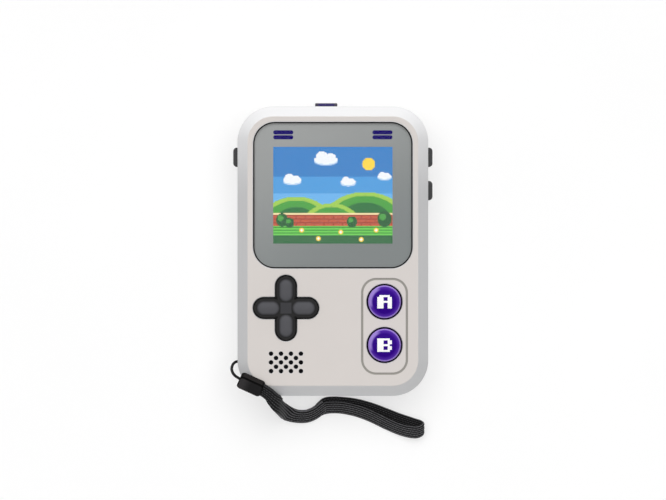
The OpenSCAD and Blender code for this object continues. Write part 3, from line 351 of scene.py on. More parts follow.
class Shade:
    """The node tree of one material or world, with short ways to add nodes and to join them."""

    def __init__(self, block, sockets):
        block.use_nodes = True
        self.material = block
        self.tree = block.node_tree
        self.output = next(n for n in self.tree.nodes if n.type.startswith("OUTPUT"))
        self.shader = self.output.inputs["Surface"].links[0].from_node
        for socket, value in sockets.items():
            self.shader.inputs[socket].default_value = value

    def node(self, kind, inputs=None, **settings):
        """A new node, with its settings and its inputs."""
        n = self.tree.nodes.new("ShaderNode" + kind)
        for key, value in settings.items():
            setattr(n, key, value)
        for key, value in (inputs or {}).items():
            self.join(value, n.inputs[key])
        return n

    def join(self, value, socket):
        """Links a socket to another node's output, or sets it to a plain value."""
        if isinstance(value, bpy.types.NodeSocket):
            self.tree.links.new(value, socket)
        else:
            socket.default_value = value

    def maths(self, operation, a, b=0.0, c=0.0):
        """One step of arithmetic."""
        return self.node("Math", {0: a, 1: b, 2: c}, operation=operation).outputs[0]

    def distance(self, a, b):
        """The distance of a point that lies a along one axis and b along the other."""
        return self.maths("SQRT", self.maths("MULTIPLY_ADD", a, a, self.maths("MULTIPLY", b, b)))

    def along(self, vector, axis):
        """The length of a vector along an axis."""
        return self.node("VectorMath", {0: vector, 1: axis}, operation="DOT_PRODUCT").outputs["Value"]

    def mix(self, share, a, b):
        """The colour a where share is 0, and b where it is 1."""
        return self.node("Mix", {0: share, 6: a, 7: b}, data_type="RGBA").outputs[2]

    def between(self, value, low, high, to_low=0.0, to_high=1.0):
        """value's place between low and high, smoothed, on the new range."""
        inputs = {"Value": value, "From Min": low, "From Max": high, "To Min": to_low, "To Max": to_high}
        return self.node("MapRange", inputs, interpolation_type="SMOOTHSTEP").outputs[0]

    def place(self):
        """The object's own coordinates in metres, which at rest are the frame's."""
        return self.node("TexCoord").outputs["Object"]

    def normal(self):
        """The direction that the surface faces, in the object's own coordinates."""
        return self.node("TexCoord").outputs["Normal"]

    def split(self, vector):
        """The x, y and z of a vector."""
        outputs = self.node("SeparateXYZ", {0: vector}).outputs
        return outputs[0], outputs[1], outputs[2]

    def noise(self, size, detail=2.0, stretch=None):
        """A noise from 0 to 1 whose patches are about size metres across."""
        vector = self.place()
        if stretch:
            vector = self.node("Mapping", {"Vector": vector, "Scale": stretch}).outputs[0]
        return self.node("TexNoise", {"Vector": vector, "Scale": 1 / size, "Detail": detail}).outputs[0]

    def seen(self):
        """1 for the camera's own rays, also by way of gloss and glass.
        0 for light on its way to a surface."""
        rays = self.node("LightPath").outputs
        mirrored = self.maths("MAXIMUM", rays["Is Glossy Ray"], rays["Is Transmission Ray"])
        straight = self.maths("MAXIMUM", rays["Is Camera Ray"], mirrored)
        return self.maths("MULTIPLY", straight, self.maths("LESS_THAN", rays["Diffuse Depth"], 0.5))

    def tone(self):
        """The colour that the shader has so far."""
        return self.shader.inputs["Base Color"].links[0].from_socket

    def colour(self, value):
        """Gives the shader a colour."""
        self.join(value, self.shader.inputs["Base Color"])

    def roughness(self, value):
        """Gives the shader a roughness."""
        self.join(value, self.shader.inputs["Roughness"])

    def relief(self, height, depth):
        """Gives the surface a fine relief."""
        bump = self.node("Bump", {"Height": height, "Distance": depth, "Strength": 1.0})
        self.join(bump.outputs[0], self.shader.inputs["Normal"])

    def see_through(self, share):
        """Lets light straight through where share is 1."""
        hole = self.node("BsdfTransparent")
        mixed = self.node("MixShader", {0: share, 1: self.shader.outputs[0], 2: hole.outputs[0]})
        self.join(mixed.outputs[0], self.output.inputs["Surface"])


def new_material(name, **sockets):
    """A material with its shader's own sockets set. An underscore stands for a space in a socket's name."""
    return Shade(bpy.data.materials.new(name), {k.replace("_", " "): v for k, v in sockets.items()})


def moulded(name, colour, roughness, grain=0.25 * MM, depth=0.006 * MM, tone=0.04, **sockets):
    """Moulded plastic or rubber: a fine grain in relief, with faintly uneven tone and gloss."""
    m = new_material(name, **sockets)
    broad, fine = m.noise(7 * MM), m.noise(grain, detail=3.0)
    m.colour(m.mix(broad, scaled(colour, 1 - tone), scaled(colour, 1 + tone)))
    m.roughness(m.between(fine, *NOISE_MIDDLE, roughness - 0.05, roughness + 0.05))
    m.relief(fine, depth)
    return m


def metal(name, colour, roughness, stretch=None):
    """Bare or plated metal: fine scratches and an uneven gloss."""
    m = new_material(name, Metallic=1.0)
    broad, fine = m.noise(2.5 * MM), m.noise(0.12 * MM, detail=4.0, stretch=stretch)
    m.colour(m.mix(broad, scaled(colour, 0.9), scaled(colour, 1.08)))
    m.roughness(m.between(fine, 0.25, 0.75, roughness - 0.08, roughness + 0.1))
    m.relief(fine, 0.003 * MM)
    return m


def dress(shade, *names):
    """Gives a material to CAD nodes."""
    for name in names:
        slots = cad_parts[name].data.materials
        slots.clear()
        slots.append(shade.material)


# Shells

FRONT_GREY = srgb(214, 208, 204)
# Painted shade: tilted faces take a cooler, darker grey than the flat front.
BEVEL_PAINTED_SHADE = srgb(204, 204, 205)
# Painted light: the bevel pales towards the top edge.
BEVEL_PAINTED_LIGHT = srgb(230, 230, 231)
# Painted shade in the groove.
GROOVE_PAINTED_SHADE = srgb(152, 149, 143)
# Painted shade on the walls of the holes.
HOLE_PAINTED_SHADE = srgb(36, 35, 35)
REAR_GREY = srgb(205, 203, 202)
FLAT_FACING = (0.8, 0.96)
BEVEL_FACING = (0.2, 0.5)
PAINTED_LIGHT_Y = (14.0 * MM, 35.0 * MM)
SUNK_Z = (20.7 * MM, 20.97 * MM)
GROOVE_AREA = ((7.6 * MM, 22.7 * MM), (-37.0 * MM, -7.2 * MM))
SPEAKER_AREA = ((-20.0 * MM, -7.5 * MM), (-38.0 * MM, -29.0 * MM))
PAD_AREA = ((-24.5 * MM, -3.0 * MM), (-27.5 * MM, -6.0 * MM))
BUTTON_AREAS = [
    ((9.5 * MM, 20.8 * MM), (-30.5 * MM, -11.5 * MM)),
    ((11.5 * MM, 18.8 * MM), (-33.2 * MM, -30.5 * MM)),
]


def front_plastic():
    """The front shell's plastic: a cooler painted shade on tilted faces, painted light on the bevel towards
    the top, and painted shade in the groove and on the hole walls.
    """
    m = moulded("front_plastic", FRONT_GREY, 0.5, grain=0.3 * MM, depth=0.008 * MM, tone=0.015)
    x, y, z = m.split(m.place())
    _, _, facing = m.split(m.normal())
    sunk = m.between(z, *SUNK_Z, 1.0, 0.0)

    def inside(xs, ys):
        """1 below the front face in a rectangle of it."""
        share = sunk
        for axis, (low, high) in ((x, xs), (y, ys)):
            share = m.maths("MULTIPLY", share, m.maths("GREATER_THAN", axis, low))
            share = m.maths("MULTIPLY", share, m.maths("LESS_THAN", axis, high))
        return share

    # Painted light on the bevel towards the top.
    painted_light = m.maths("MULTIPLY", m.between(y, *PAINTED_LIGHT_Y), m.between(facing, *BEVEL_FACING))
    painted_bevel = m.mix(painted_light, BEVEL_PAINTED_SHADE, BEVEL_PAINTED_LIGHT)
    # Painted shade: tilted faces get the cooler bevel grey.
    tone = m.mix(m.between(facing, *FLAT_FACING), painted_bevel, m.tone())
    # Painted shade in the groove.
    tone = m.mix(inside(*GROOVE_AREA), tone, GROOVE_PAINTED_SHADE)
    # Painted shade on the walls of the speaker holes and around the pad and buttons.
    for area in (SPEAKER_AREA, PAD_AREA, *BUTTON_AREAS):
        tone = m.mix(inside(*area), tone, HOLE_PAINTED_SHADE)
    m.colour(tone)
    return m


rear_plastic = moulded("rear_plastic", REAR_GREY, 0.52, grain=0.35 * MM, depth=0.012 * MM, tone=0.02)
dress(front_plastic(), "front_shell")
dress(rear_plastic, "rear_shell", "battery_door")
dress(metal("screw_steel", srgb(176, 178, 182), 0.34), "case_screws", "door_screw", "board_screws")

# Window

# Painted sheen: the print is lighter towards the upper left.
PRINT_SHEEN_GREY = srgb(168, 170, 169)
PRINT_GREY = srgb(138, 143, 143)
PRINT_SHEEN_SLANT = 0.55
PRINT_SHEEN_SPAN = (-48 * MM, 8 * MM)
STRIPE_VIOLET = srgb(18, 0, 104)
STRIPE_X = 14.55 * MM
STRIPE_YS = (34.85 * MM, 33.4 * MM)
STRIPE_LENGTH = 5.9 * MM
STRIPE_W = 1.2 * MM
STRIPE_BLUR = 0.05 * MM


def clear_window():
    """Clear plastic that lets the lamps' light through."""
    m = new_material("clear_window", Transmission_Weight=1.0, IOR=1.2, Base_Color=WHITE)
    m.roughness(m.between(m.noise(3 * MM), *NOISE_MIDDLE, 0.015, 0.035))
    m.see_through(m.node("LightPath").outputs["Is Shadow Ray"])
    return m


def window_ink():
    """The window's print: a grey with a painted sheen that fades towards the lower right, with four
    round-ended stripes.
    """
    m = moulded("window_ink", PRINT_SHEEN_GREY, 0.6, grain=0.2 * MM, depth=0.002 * MM, Specular_IOR_Level=0.1)
    x, y, _ = m.split(m.place())
    # Painted sheen, fading along a slant.
    sheen_slope = m.maths("SUBTRACT", m.maths("MULTIPLY", x, PRINT_SHEEN_SLANT), y)
    tone = m.mix(m.between(sheen_slope, *PRINT_SHEEN_SPAN), PRINT_SHEEN_GREY, PRINT_GREY)
    from_middle = m.maths("ABSOLUTE", m.maths("SUBTRACT", m.maths("ABSOLUTE", x), STRIPE_X))
    past_straight = m.maths("SUBTRACT", from_middle, (STRIPE_LENGTH - STRIPE_W) / 2)
    past_straight = m.maths("MAXIMUM", past_straight, 0.0)
    for stripe_y in STRIPE_YS:
        reach = m.distance(past_straight, m.maths("SUBTRACT", y, stripe_y))
        stripe = m.between(reach, STRIPE_W / 2 - STRIPE_BLUR, STRIPE_W / 2 + STRIPE_BLUR, 1.0, 0.0)
        tone = m.mix(stripe, tone, STRIPE_VIOLET)
    m.colour(tone)
    return m


gasket_rubber = moulded("gasket_rubber", srgb(18, 15, 16), 0.6, grain=0.3 * MM, Specular_IOR_Level=0.15)
dress(clear_window(), "window_plate")
dress(window_ink(), "window_print")
dress(gasket_rubber, "window_gasket")

# Picture on the display: places and sizes are in picture cells from its middle

PICTURE_CENTRE = (0.0, 16.4 * MM)
PICTURE_CELL = 35.0 * MM / 128
PICTURE_LEVEL = 0.95
UNLIT_BLACK = (0.01, 0.01, 0.012, 1.0)
SKY_HIGH, SKY_MID, SKY_LOW = srgb(44, 126, 198), srgb(70, 156, 222), srgb(104, 180, 238)
CLOUD, CLOUD_SHADE, SUN = srgb(246, 250, 255), srgb(186, 218, 246), srgb(255, 218, 60)
HILL_CREST, HILL_MID, HILL_DEEP = srgb(160, 206, 74), srgb(66, 160, 54), srgb(24, 112, 48)
BRICK, MORTAR, COPING = srgb(196, 84, 52), srgb(150, 54, 36), srgb(248, 226, 168)
MEADOW, MOWN, FIELD = srgb(106, 206, 78), srgb(38, 138, 36), srgb(36, 104, 54)
BUSH, BUSH_LIGHT = srgb(20, 92, 40), srgb(70, 160, 62)
SKY_MID_TOP, SKY_LOW_TOP = 20, 2
COPING_TOP, WALL_TOP, MEADOW_TOP, FIELD_TOP = -19, -21, -33, -43
SUN_OVAL = (38, 33, 7, 7)
CLOUDS = ((-44, 14, 1.1), (-8, 36, 1.4), (16, 12, 0.9), (55, 18, 0.8))
CLOUD_LAYERS = ((CLOUD_SHADE, 0.0), (CLOUD, 1.6))
CLOUD_PUFFS = ((0, 0, 9, 3.4), (-3, 2.4, 4.6, 4), (3.5, 1.6, 4.2, 3.2))
HILLS = ((-40, -2, 40), (34, 3, 44), (-2, -9, 34))
HILL_BANDS = ((0, HILL_CREST), (4, HILL_MID), (11, HILL_DEEP))
HILL_RISE = 30
BRICK_LENGTH, BRICK_HEIGHT, BRICK_PHASE = 10.0, 4.0, 2.0
MOWN_STEP = 3.0
BUSHES = ((-55, -27, 1.2), (-47, -30, 0.9), (20, -29, 1.0), (55, -26, 1.4))
BUSH_RX, BUSH_RY = 5.5, 6
BUSH_LIGHT_X, BUSH_LIGHT_Y, BUSH_LIGHT_R = -1.4, 1.6, 2.6
FLOWERS = ((-34, -38), (-16, -47), (8, -40), (30, -48), (46, -38))
PETALS_R, FLOWER_EYE_R = 2.6, 1.2
CELL_SHIFT = 200.0


def display_picture():
    """A lit picture of a garden wall under hills and a banded sky."""
    m = new_material("display_picture", Base_Color=UNLIT_BLACK, Emission_Strength=PICTURE_LEVEL)
    x, y, _ = m.split(m.place())
    px, py = [
        m.maths("FLOOR", m.maths("DIVIDE", m.maths("SUBTRACT", axis, middle), PICTURE_CELL))
        for axis, middle in zip((x, y), PICTURE_CENTRE)
    ]

    def oval(cx, cy, rx, ry):
        """1 inside an oval."""
        dx = m.maths("MULTIPLY_ADD", px, 1 / rx, -cx / rx)
        dy = m.maths("MULTIPLY_ADD", py, 1 / ry, -cy / ry)
        square = m.maths("MULTIPLY_ADD", dx, dx, m.maths("MULTIPLY", dy, dy))
        return m.maths("LESS_THAN", square, 1.0)

    def under(top):
        """1 below a row."""
        return m.maths("LESS_THAN", py, top)

    def every(value, step):
        """1 in the first cell of each step. The shift keeps the remainder positive."""
        return m.maths("LESS_THAN", m.maths("MODULO", m.maths("ADD", value, CELL_SHIFT), step), 1.0)

    def bricks():
        """Courses of bricks, every second one moved by half a brick."""
        row = m.maths("ADD", py, BRICK_PHASE)
        course = m.maths("FLOOR", m.maths("DIVIDE", m.maths("ADD", row, CELL_SHIFT), BRICK_HEIGHT))
        moved = m.maths("MULTIPLY_ADD", m.maths("MODULO", course, 2.0), BRICK_LENGTH / 2, px)
        joints = m.maths("MAXIMUM", every(row, BRICK_HEIGHT), every(moved, BRICK_LENGTH))
        return m.mix(joints, BRICK, MORTAR)

    picture = m.mix(under(SKY_MID_TOP), SKY_HIGH, SKY_MID)
    picture = m.mix(under(SKY_LOW_TOP), picture, SKY_LOW)
    picture = m.mix(oval(*SUN_OVAL), picture, SUN)
    for cx, cy, size in CLOUDS:
        for tone, rise in CLOUD_LAYERS:
            for dx, dy, rx, ry in CLOUD_PUFFS:
                puff = oval(cx + dx * size, cy + dy * size + rise, rx * size, ry * size)
                picture = m.mix(puff, picture, tone)
    for cx, top, run in HILLS:
        for drop, tone in HILL_BANDS:
            picture = m.mix(oval(cx, top - drop - HILL_RISE, run - drop, HILL_RISE), picture, tone)
    picture = m.mix(under(COPING_TOP), picture, COPING)
    picture = m.mix(under(WALL_TOP), picture, bricks())
    picture = m.mix(under(MEADOW_TOP), picture, m.mix(every(py, MOWN_STEP), MEADOW, MOWN))
    picture = m.mix(under(FIELD_TOP), picture, FIELD)
    for cx, cy, size in BUSHES:
        picture = m.mix(oval(cx, cy, BUSH_RX * size, BUSH_RY * size), picture, BUSH)
        light_r = BUSH_LIGHT_R * size
        light = oval(cx + BUSH_LIGHT_X * size, cy + BUSH_LIGHT_Y * size, light_r, light_r)
        picture = m.mix(light, picture, BUSH_LIGHT)
    for cx, cy in FLOWERS:
        picture = m.mix(oval(cx, cy, PETALS_R, PETALS_R), picture, SUN)
        picture = m.mix(oval(cx, cy, FLOWER_EYE_R, FLOWER_EYE_R), picture, CLOUD)
    grain = m.between(m.noise(PICTURE_CELL * 2, detail=0.0), 0.2, 0.8, 0.97, 1.03)
    grains = m.node("CombineXYZ", {0: grain, 1: grain, 2: grain}).outputs[0]
    lit = m.node("VectorMath", {0: picture, 1: grains}, operation="MULTIPLY").outputs[0]
    m.join(lit, m.shader.inputs["Emission Color"])
    m.roughness(m.between(m.noise(2 * MM), *NOISE_MIDDLE, 0.18, 0.26))
    return m


# Display

CABLE_AMBER = srgb(176, 108, 36)
TRACK_COPPER = srgb(208, 146, 74)
TRACK_PITCH = 0.6 * MM


def cable_amber():
    """Amber film with copper tracks along it."""
    m = new_material("cable_amber", Coat_Weight=0.4)
    x, _, _ = m.split(m.place())
    track = m.between(m.maths("SINE", m.maths("MULTIPLY", x, 2 * math.pi / TRACK_PITCH)), -0.1, 0.3)
    m.colour(m.mix(track, CABLE_AMBER, TRACK_COPPER))
    m.roughness(m.between(m.noise(1 * MM), *NOISE_MIDDLE, 0.3, 0.42))
    m.relief(track, 0.01 * MM)
    return m


dress(display_picture(), "display_glass")
dress(moulded("backlight_white", srgb(232, 230, 224), 0.55), "display_backlight")
dress(moulded("foam_black", srgb(40, 40, 42), 0.9, grain=0.4 * MM, depth=0.05 * MM), "display_foam")
dress(moulded("socket_cream", srgb(228, 221, 204), 0.5), "display_socket")
dress(cable_amber(), "display_cable")

# Direction pad

PAD_BLACK = srgb(28, 28, 28)
PAD_MIDDLE_GREY = srgb(54, 54, 57)
# Painted shade at the ovals' feet and a painted highlight on their tops.
PAD_SHADED_FOOT = srgb(22, 22, 23)
PAD_OVAL_HIGHLIGHT = srgb(78, 78, 82)
PAD_CENTRE = (-13.75 * MM, -16.7 * MM)
PAD_FACE_Z = 22.2 * MM
OVAL_TOP_Z = 22.8 * MM
PAD_MIDDLE = (1.45 * MM, 1.75 * MM)
PAD_SHADED_FOOT_Z = (PAD_FACE_Z + 0.01 * MM, PAD_FACE_Z + 0.06 * MM)
PAD_HIGHLIGHT_Z = (PAD_FACE_Z + 0.05 * MM, OVAL_TOP_Z - 0.15 * MM)


def pad_black():
    """The pad's plastic: black arms, a grey middle, and raised ovals with painted shade at their feet that
    pales to a painted highlight on top.
    """
    m = moulded("pad_black", PAD_BLACK, 0.4, grain=0.2 * MM, depth=0.004 * MM, tone=0.1,
                Specular_IOR_Level=0.2)
    x, y, z = m.split(m.place())
    to_side = m.maths("MAXIMUM", *[
        m.maths("ABSOLUTE", m.maths("SUBTRACT", axis, middle)) for axis, middle in zip((x, y), PAD_CENTRE)
    ])
    tone = m.mix(m.between(to_side, *PAD_MIDDLE), PAD_MIDDLE_GREY, m.tone())
    # Painted shade at the ovals' feet, then a painted highlight towards their tops.
    tone = m.mix(m.between(z, *PAD_SHADED_FOOT_Z), tone, PAD_SHADED_FOOT)
    m.colour(m.mix(m.between(z, *PAD_HIGHLIGHT_Z), tone, PAD_OVAL_HIGHLIGHT))
    return m


membrane_rubber = moulded("membrane_rubber", srgb(140, 144, 150), 0.7, grain=0.3 * MM, depth=0.01 * MM)
dress(pad_black(), "direction_pad")
dress(metal("ball_steel", srgb(200, 203, 208), 0.16), "pad_pivot")
dress(membrane_rubber, "pad_membrane", "button_membrane")

# Buttons

# Painted light and shade: the glow and the lilac are painted highlights, the darkest violet is painted
# shade.
BUTTON_GAP_SHADE, VIOLET, PAINTED_EDGE_GLOW, PAINTED_LILAC_HIGHLIGHT = srgb(22, 6, 44), srgb(46, 0, 128), srgb(92, 50, 172), srgb(160, 134, 214)
BUTTON_X = 15.15 * MM
BUTTON_YS = {"a": -14.85 * MM, "b": -27.55 * MM}
BUTTON_R = 4.8 * MM
# Painted shade in the gap at the button's foot.
BUTTON_GAP_SHADE_Z = (FRONT_Z - 0.1 * MM, FRONT_Z + 0.5 * MM)
# Painted highlights: the edge glow, the rim and the crescent on the lit side.
PAINTED_GLOW_R = (BUTTON_R - 1.7 * MM, BUTTON_R - 0.3 * MM)
PAINTED_GLOW_SHARE = 0.7
HIGHLIGHT_CRESCENT_R = (BUTTON_R - 1.4 * MM, BUTTON_R - 0.7 * MM)
HIGHLIGHT_SIDE = (-0.92, 0.39)
HIGHLIGHT_SPREAD = (0.6, 0.9)
HIGHLIGHT_RIM_R = (BUTTON_R - 0.5 * MM, BUTTON_R - 0.25 * MM)
HIGHLIGHT_SHARE = 0.9


def button_violet():
    """Violet plastic with a painted glow towards its edge, a painted lilac highlight on its rim and a
    painted lilac crescent highlight on one side, over painted shade at its foot.
    """
    m = moulded("button_violet", VIOLET, 0.3, grain=0.3 * MM, depth=0.002 * MM, tone=0.06,
                Specular_IOR_Level=0.06)
    x, y, z = m.split(m.place())
    dx = m.maths("SUBTRACT", x, BUTTON_X)
    to_a, to_b = [m.maths("SUBTRACT", y, button_y) for button_y in BUTTON_YS.values()]
    on_a = m.maths("GREATER_THAN", y, sum(BUTTON_YS.values()) / 2)
    dy = m.node("Mix", {0: on_a, 2: to_b, 3: to_a}).outputs[0]
    reach = m.distance(dx, dy)
    side_x, side_y = HIGHLIGHT_SIDE
    to_side = m.maths("MULTIPLY_ADD", dx, side_x, m.maths("MULTIPLY", dy, side_y))
    on_side = m.between(m.maths("DIVIDE", to_side, reach), *HIGHLIGHT_SPREAD)
    highlight_crescent = m.maths("MULTIPLY", on_side, m.between(reach, *HIGHLIGHT_CRESCENT_R))
    highlight_rim = m.between(reach, *HIGHLIGHT_RIM_R)
    # Painted glow and painted highlights.
    tone = m.mix(m.maths("MULTIPLY", m.between(reach, *PAINTED_GLOW_R), PAINTED_GLOW_SHARE), m.tone(), PAINTED_EDGE_GLOW)
    for light in (highlight_crescent, highlight_rim):
        tone = m.mix(m.maths("MULTIPLY", light, HIGHLIGHT_SHARE), tone, PAINTED_LILAC_HIGHLIGHT)
    # Painted shade in the gap at the foot.
    m.colour(m.mix(m.between(z, *BUTTON_GAP_SHADE_Z), BUTTON_GAP_SHADE, tone))
    return m


dress(button_violet(), "button_a", "button_b")

# Letters on the buttons

LETTERS = {
    "a": [".XXXXX.", "XXX..XX", "XXX..XX", "XXXXXXX", "XXX..XX", "XXX..XX", "XXX..XX"],
    "b": ["XXXXXX.", "XXX..XX", "XXX..XX", "XXXXXX.", "XXX..XX", "XXX..XX", "XXXXXX."],
}
LETTER_CELL = (0.61 * MM, 0.56 * MM)
LETTER_PROUD = 0.02 * MM
LETTER_SINK = 0.08 * MM
DOME_TOP_Z = 22.7 * MM
DOME_R = 15.0 * MM

letter_white = moulded("letter_white", srgb(255, 253, 255), 0.4, grain=0.15 * MM, depth=0.002 * MM)


def letter(name, rows, centre_y):
    """A block letter printed on a button's dome."""
    b = bmesh.new()
    corners = {}

    def corner(column, row):
        """The vertex at a corner of the cells, made once."""
        if (column, row) not in corners:
            dx = (column - len(rows[0]) / 2) * LETTER_CELL[0]
            dy = (len(rows) / 2 - row) * LETTER_CELL[1]
            z = DOME_TOP_Z - DOME_R + math.sqrt(DOME_R ** 2 - dx ** 2 - dy ** 2) + LETTER_PROUD
            corners[column, row] = b.verts.new((BUTTON_X + dx, centre_y + dy, z))
        return corners[column, row]

    for row, cells in enumerate(rows):
        for column, cell in enumerate(cells):
            if cell == "X":
                b.faces.new([corner(column, row + 1), corner(column + 1, row + 1),
                             corner(column + 1, row), corner(column, row)])
    sunk = bmesh.ops.extrude_face_region(b, geom=b.faces[:])["geom"]
    for v in (g for g in sunk if isinstance(g, bmesh.types.BMVert)):
        v.co.z -= LETTER_SINK
    bmesh.ops.recalc_face_normals(b, faces=b.faces)
    mesh = bpy.data.meshes.new(name)
    b.to_mesh(mesh)
    b.free()
    mesh.materials.append(letter_white.material)
    return place(bpy.data.objects.new(name, mesh))


for key, rows in LETTERS.items():
    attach(letter(f"letter_{key}", rows, BUTTON_YS[key]), f"{key}_button")

# Keys, power knob and switches

KEY_GREY = srgb(62, 62, 63)
KNOB_VIOLET = srgb(52, 46, 93)
KNOB_END_GREY = srgb(70, 66, 79)
KNOB_X = -1.95 * MM
KNOB_HALF = 3.27 * MM
KNOB_END = (KNOB_HALF - 1.3 * MM, KNOB_HALF - 0.6 * MM)


def knob_violet():
    """The power knob's plastic: violet with grey ends."""
    m = moulded("knob_violet", KNOB_VIOLET, 0.42, tone=0.05, Specular_IOR_Level=0.2)
    x, _, _ = m.split(m.place())
    end = m.between(m.maths("ABSOLUTE", m.maths("SUBTRACT", x, KNOB_X)), *KNOB_END)
    m.colour(m.mix(end, m.tone(), KNOB_END_GREY))
    return m


key_grey = moulded("key_grey", KEY_GREY, 0.5, depth=0.008 * MM, tone=0.06, Specular_IOR_Level=0.3)
switch_ivory = moulded("switch_ivory", srgb(226, 221, 208), 0.45)
dress(key_grey, "side_key_left", "side_key_upper", "side_key_lower")
dress(switch_ivory, "key_plunger_left", "key_plunger_upper", "key_plunger_lower", "power_lever")
dress(moulded("switch_black", srgb(36, 36, 38), 0.4, tone=0.08), "side_switches")
dress(metal("switch_can", srgb(182, 185, 188), 0.3, stretch=(1, 8, 8)), "power_switch", "crystal_can")
dress(knob_violet(), "power_knob")

# Board and its parts

BOARD_GREEN = srgb(26, 92, 58)
TRACE_GREEN = srgb(96, 160, 96)
TRACE_SHARE = 0.55
TRACE_W_MM = 0.09
TRACE_CELL_MM = (4.6, 1.3)


def board_green():
    """Green solder mask over a pattern of traces."""
    m = moulded("board_green", BOARD_GREEN, 0.36, grain=0.3 * MM, depth=0.004 * MM, tone=0.08,
                Coat_Weight=0.3)
    flat = m.node("VectorMath", {0: m.place(), 1: (1.0, 1.0, 0.0)}, operation="MULTIPLY").outputs[0]
    in_mm = m.node("Mapping", {"Vector": flat, "Scale": (1 / MM, 1 / MM, 1 / MM)}).outputs[0]
    traces = m.node("TexBrick", {
        "Vector": in_mm, "Scale": 1.0, "Color1": BLACK, "Color2": BLACK, "Mortar": WHITE,
        "Mortar Size": TRACE_W_MM, "Brick Width": TRACE_CELL_MM[0], "Row Height": TRACE_CELL_MM[1],
    }).outputs["Fac"]
    m.colour(m.mix(m.maths("MULTIPLY", traces, TRACE_SHARE), m.tone(), TRACE_GREEN))
    m.relief(traces, 0.02 * MM)
    return m


chip_black = moulded("chip_black", srgb(28, 28, 30), 0.5, grain=0.15 * MM, tone=0.1)
cone_black = moulded("cone_black", srgb(30, 30, 33), 0.85, grain=0.12 * MM, depth=0.02 * MM, tone=0.15)
dress(board_green(), "main_board")
dress(chip_black, "game_chip", "sound_amplifier", "chip_resistors")
dress(metal("capacitor_can", srgb(190, 194, 198), 0.28, stretch=(1, 1, 8)), "filter_capacitors")
dress(metal("basket_steel", srgb(120, 124, 130), 0.4), "speaker_basket")
dress(cone_black, "speaker_cone")
dress(moulded("wire_red", srgb(168, 34, 34), 0.4), "speaker_leads", "battery_lead_positive")
dress(moulded("wire_black", srgb(30, 30, 32), 0.4), "battery_lead_negative")

# Cells and contacts

WRAP_GREY = srgb(46, 49, 54)
WRAP_COPPER = srgb(196, 120, 52)
BARE_STEEL = srgb(196, 199, 203)
MIDDLE_CELL_X = 5.4 * MM
COPPER_Y = (10.6 * MM, 10.8 * MM)
WRAP_Y = (-19.6 * MM, 23.05 * MM)


def cell_wrap():
    """A cell's printed wrap between bare steel ends. The middle cell lies the other way round."""
    m = moulded("cell_wrap", WRAP_GREY, 0.3, grain=0.4 * MM, depth=0.003 * MM, tone=0.06, Coat_Weight=0.5)
    x, y, _ = m.split(m.place())
    outer = m.maths("GREATER_THAN", m.maths("ABSOLUTE", x), MIDDLE_CELL_X)
    towards = m.maths("MULTIPLY", y, m.maths("MULTIPLY_ADD", outer, 2.0, -1.0))
    wrapped = m.mix(m.between(towards, *COPPER_Y), m.tone(), WRAP_COPPER)
    wrap_from, wrap_to = WRAP_Y
    past_wrap = m.maths("GREATER_THAN", towards, wrap_to)
    bare = m.maths("MAXIMUM", past_wrap, m.maths("LESS_THAN", towards, wrap_from))
    m.colour(m.mix(bare, wrapped, BARE_STEEL))
    m.join(bare, m.shader.inputs["Metallic"])
    return m


dress(cell_wrap(), "cell_left", "cell_middle", "cell_right")
dress(metal("contact_nickel", srgb(196, 194, 184), 0.26), "battery_springs", "battery_contacts")

# Materials of the strap

NYLON_BLACK = srgb(12, 12, 13)
# Painted highlight on the crests of the weave.
NYLON_CREST_HIGHLIGHT = srgb(112, 112, 115)
CREST_HIGHLIGHT_RANGE = (0.6, 0.95)
# Painted shade on the ferrule's edges, a painted sheen at the cord's end and painted light on its long
# sides.
FERRULE_SHADED_EDGE = srgb(5, 5, 5)
FERRULE_FACE = srgb(31, 30, 31)
FERRULE_PAINTED_SHEEN = srgb(56, 54, 55)
FERRULE_LIT_SIDE = srgb(36, 34, 34)
FERRULE_MID = Vector((4.0, 3.4, 21.7))
FERRULE_FACING = (0.85, 0.97)
PAINTED_SHEEN_SPAN = (-2.6 * MM, 0.2 * MM)


def strap_nylon():
    """Black nylon yarn with a painted highlight on the crests of its weave and painted shade in its
    grooves.
    """
    m = moulded("strap_black", NYLON_BLACK, 0.75, grain=0.12 * MM, depth=0.02 * MM, tone=0.2,
                Specular_IOR_Level=0.12, Sheen_Weight=0.04, Sheen_Roughness=0.5)
    crest = m.node("Attribute", attribute_name="crest").outputs["Fac"]
    fibre = m.between(m.noise(0.3 * MM, detail=3.0), *NOISE_MIDDLE, 0.4, 1.0)
    # Painted highlight on the crests.
    crest_highlight = m.maths("MULTIPLY", m.between(crest, *CREST_HIGHLIGHT_RANGE), fibre)
    m.colour(m.mix(crest_highlight, m.tone(), NYLON_CREST_HIGHLIGHT))
    return m


def ferrule_black():
    """Black rubber with a painted sheen at the cord's end, painted light on its long sides and painted
    shade on its edges.
    """
    m = moulded("ferrule_black", FERRULE_FACE, 0.4, depth=0.008 * MM, Specular_IOR_Level=0.04)
    lengthwise = (Vector(TAIL_ROUTE[1]) - FERRULE_MID).normalized()
    across = squared(WEBBING_LEAN, lengthwise)
    on_face = m.maths("ABSOLUTE", m.along(m.normal(), lengthwise.cross(across)))
    on_side = m.maths("ABSOLUTE", m.along(m.normal(), across))
    mid = (CASE_CORNER + FERRULE_MID).dot(lengthwise) * MM
    from_mid = m.maths("SUBTRACT", m.along(m.place(), lengthwise), mid)
    # Painted sheen, painted shade on the edges and painted light on the long sides.
    tone = m.mix(m.between(from_mid, *PAINTED_SHEEN_SPAN), FERRULE_PAINTED_SHEEN, FERRULE_FACE)
    tone = m.mix(m.between(on_face, *FERRULE_FACING), FERRULE_SHADED_EDGE, tone)
    m.colour(m.mix(m.between(on_side, *FERRULE_FACING), tone, FERRULE_LIT_SIDE))
    return m


nylon = strap_nylon()
for piece in strap_pieces:
    piece.data.materials.append(nylon.material)
dress(ferrule_black(), "strap_ferrule")

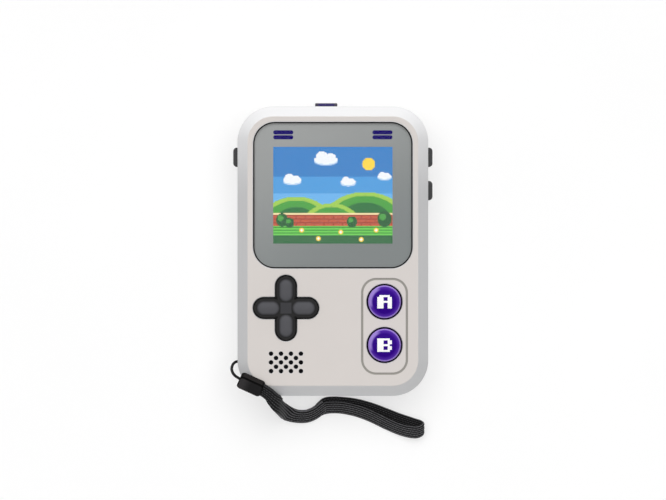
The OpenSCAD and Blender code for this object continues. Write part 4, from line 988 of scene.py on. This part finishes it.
# Floor and room

FLOOR_SIZE = 3.0
FLOOR_GREYS = (srgb(186, 186, 186), srgb(190, 190, 190))
FLOOR_LEVEL = 0.5
AMBIENT = 0.25


def floor_white():
    """A grey floor that looks white, keeps a soft shadow and doesn't show from below."""
    m = new_material("floor_white", Roughness=0.9, Specular_IOR_Level=0.1, Emission_Color=WHITE)
    m.colour(m.mix(m.noise(60 * MM), *FLOOR_GREYS))
    m.join(m.maths("MULTIPLY", m.seen(), FLOOR_LEVEL), m.shader.inputs["Emission Strength"])
    m.see_through(m.node("NewGeometry").outputs["Backfacing"])
    return m


floor_corners = [(x * FLOOR_SIZE, y * FLOOR_SIZE, 0) for x, y in ((-1, -1), (1, -1), (1, 1), (-1, 1))]
floor = mesh_object("floor", floor_corners, [(0, 1, 2, 3)], floor_white().material)

world = bpy.data.worlds.new("studio")
scene.world = world
room = Shade(world, {"Color": WHITE})
room_level = room.maths("MULTIPLY_ADD", room.seen(), 1.0 - AMBIENT, AMBIENT)
room.join(room_level, room.shader.inputs["Strength"])

# Lamps


def lamp(name, azimuth, elevation, level, softness, shadow=True):
    """A soft distant lamp that adds level times the colour of a surface facing it.
    Angles are in degrees, and azimuth 90 is the top edge. Gloss shows the white room, not the lamps."""
    data = bpy.data.lights.new(name, "SUN")
    data.energy = math.pi * level
    data.angle = math.radians(softness)
    data.use_shadow = shadow
    obj = place(bpy.data.objects.new(name, data))
    obj.visible_glossy = False
    obj.visible_transmission = False
    a, e = math.radians(azimuth), math.radians(elevation)
    towards = Vector((math.cos(a) * math.cos(e), math.sin(a) * math.cos(e), math.sin(e)))
    obj.rotation_euler = towards.to_track_quat("Z", "Y").to_euler()


lamp("overhead", azimuth=91, elevation=75, level=0.667, softness=60)
lamp("top_edge", azimuth=90.5, elevation=9, level=0.385, softness=12, shadow=False)
lamp("bottom_edge", azimuth=268, elevation=9, level=0.19, softness=12, shadow=False)
lamp("underneath", azimuth=270, elevation=-80, level=0.6, softness=60, shadow=False)
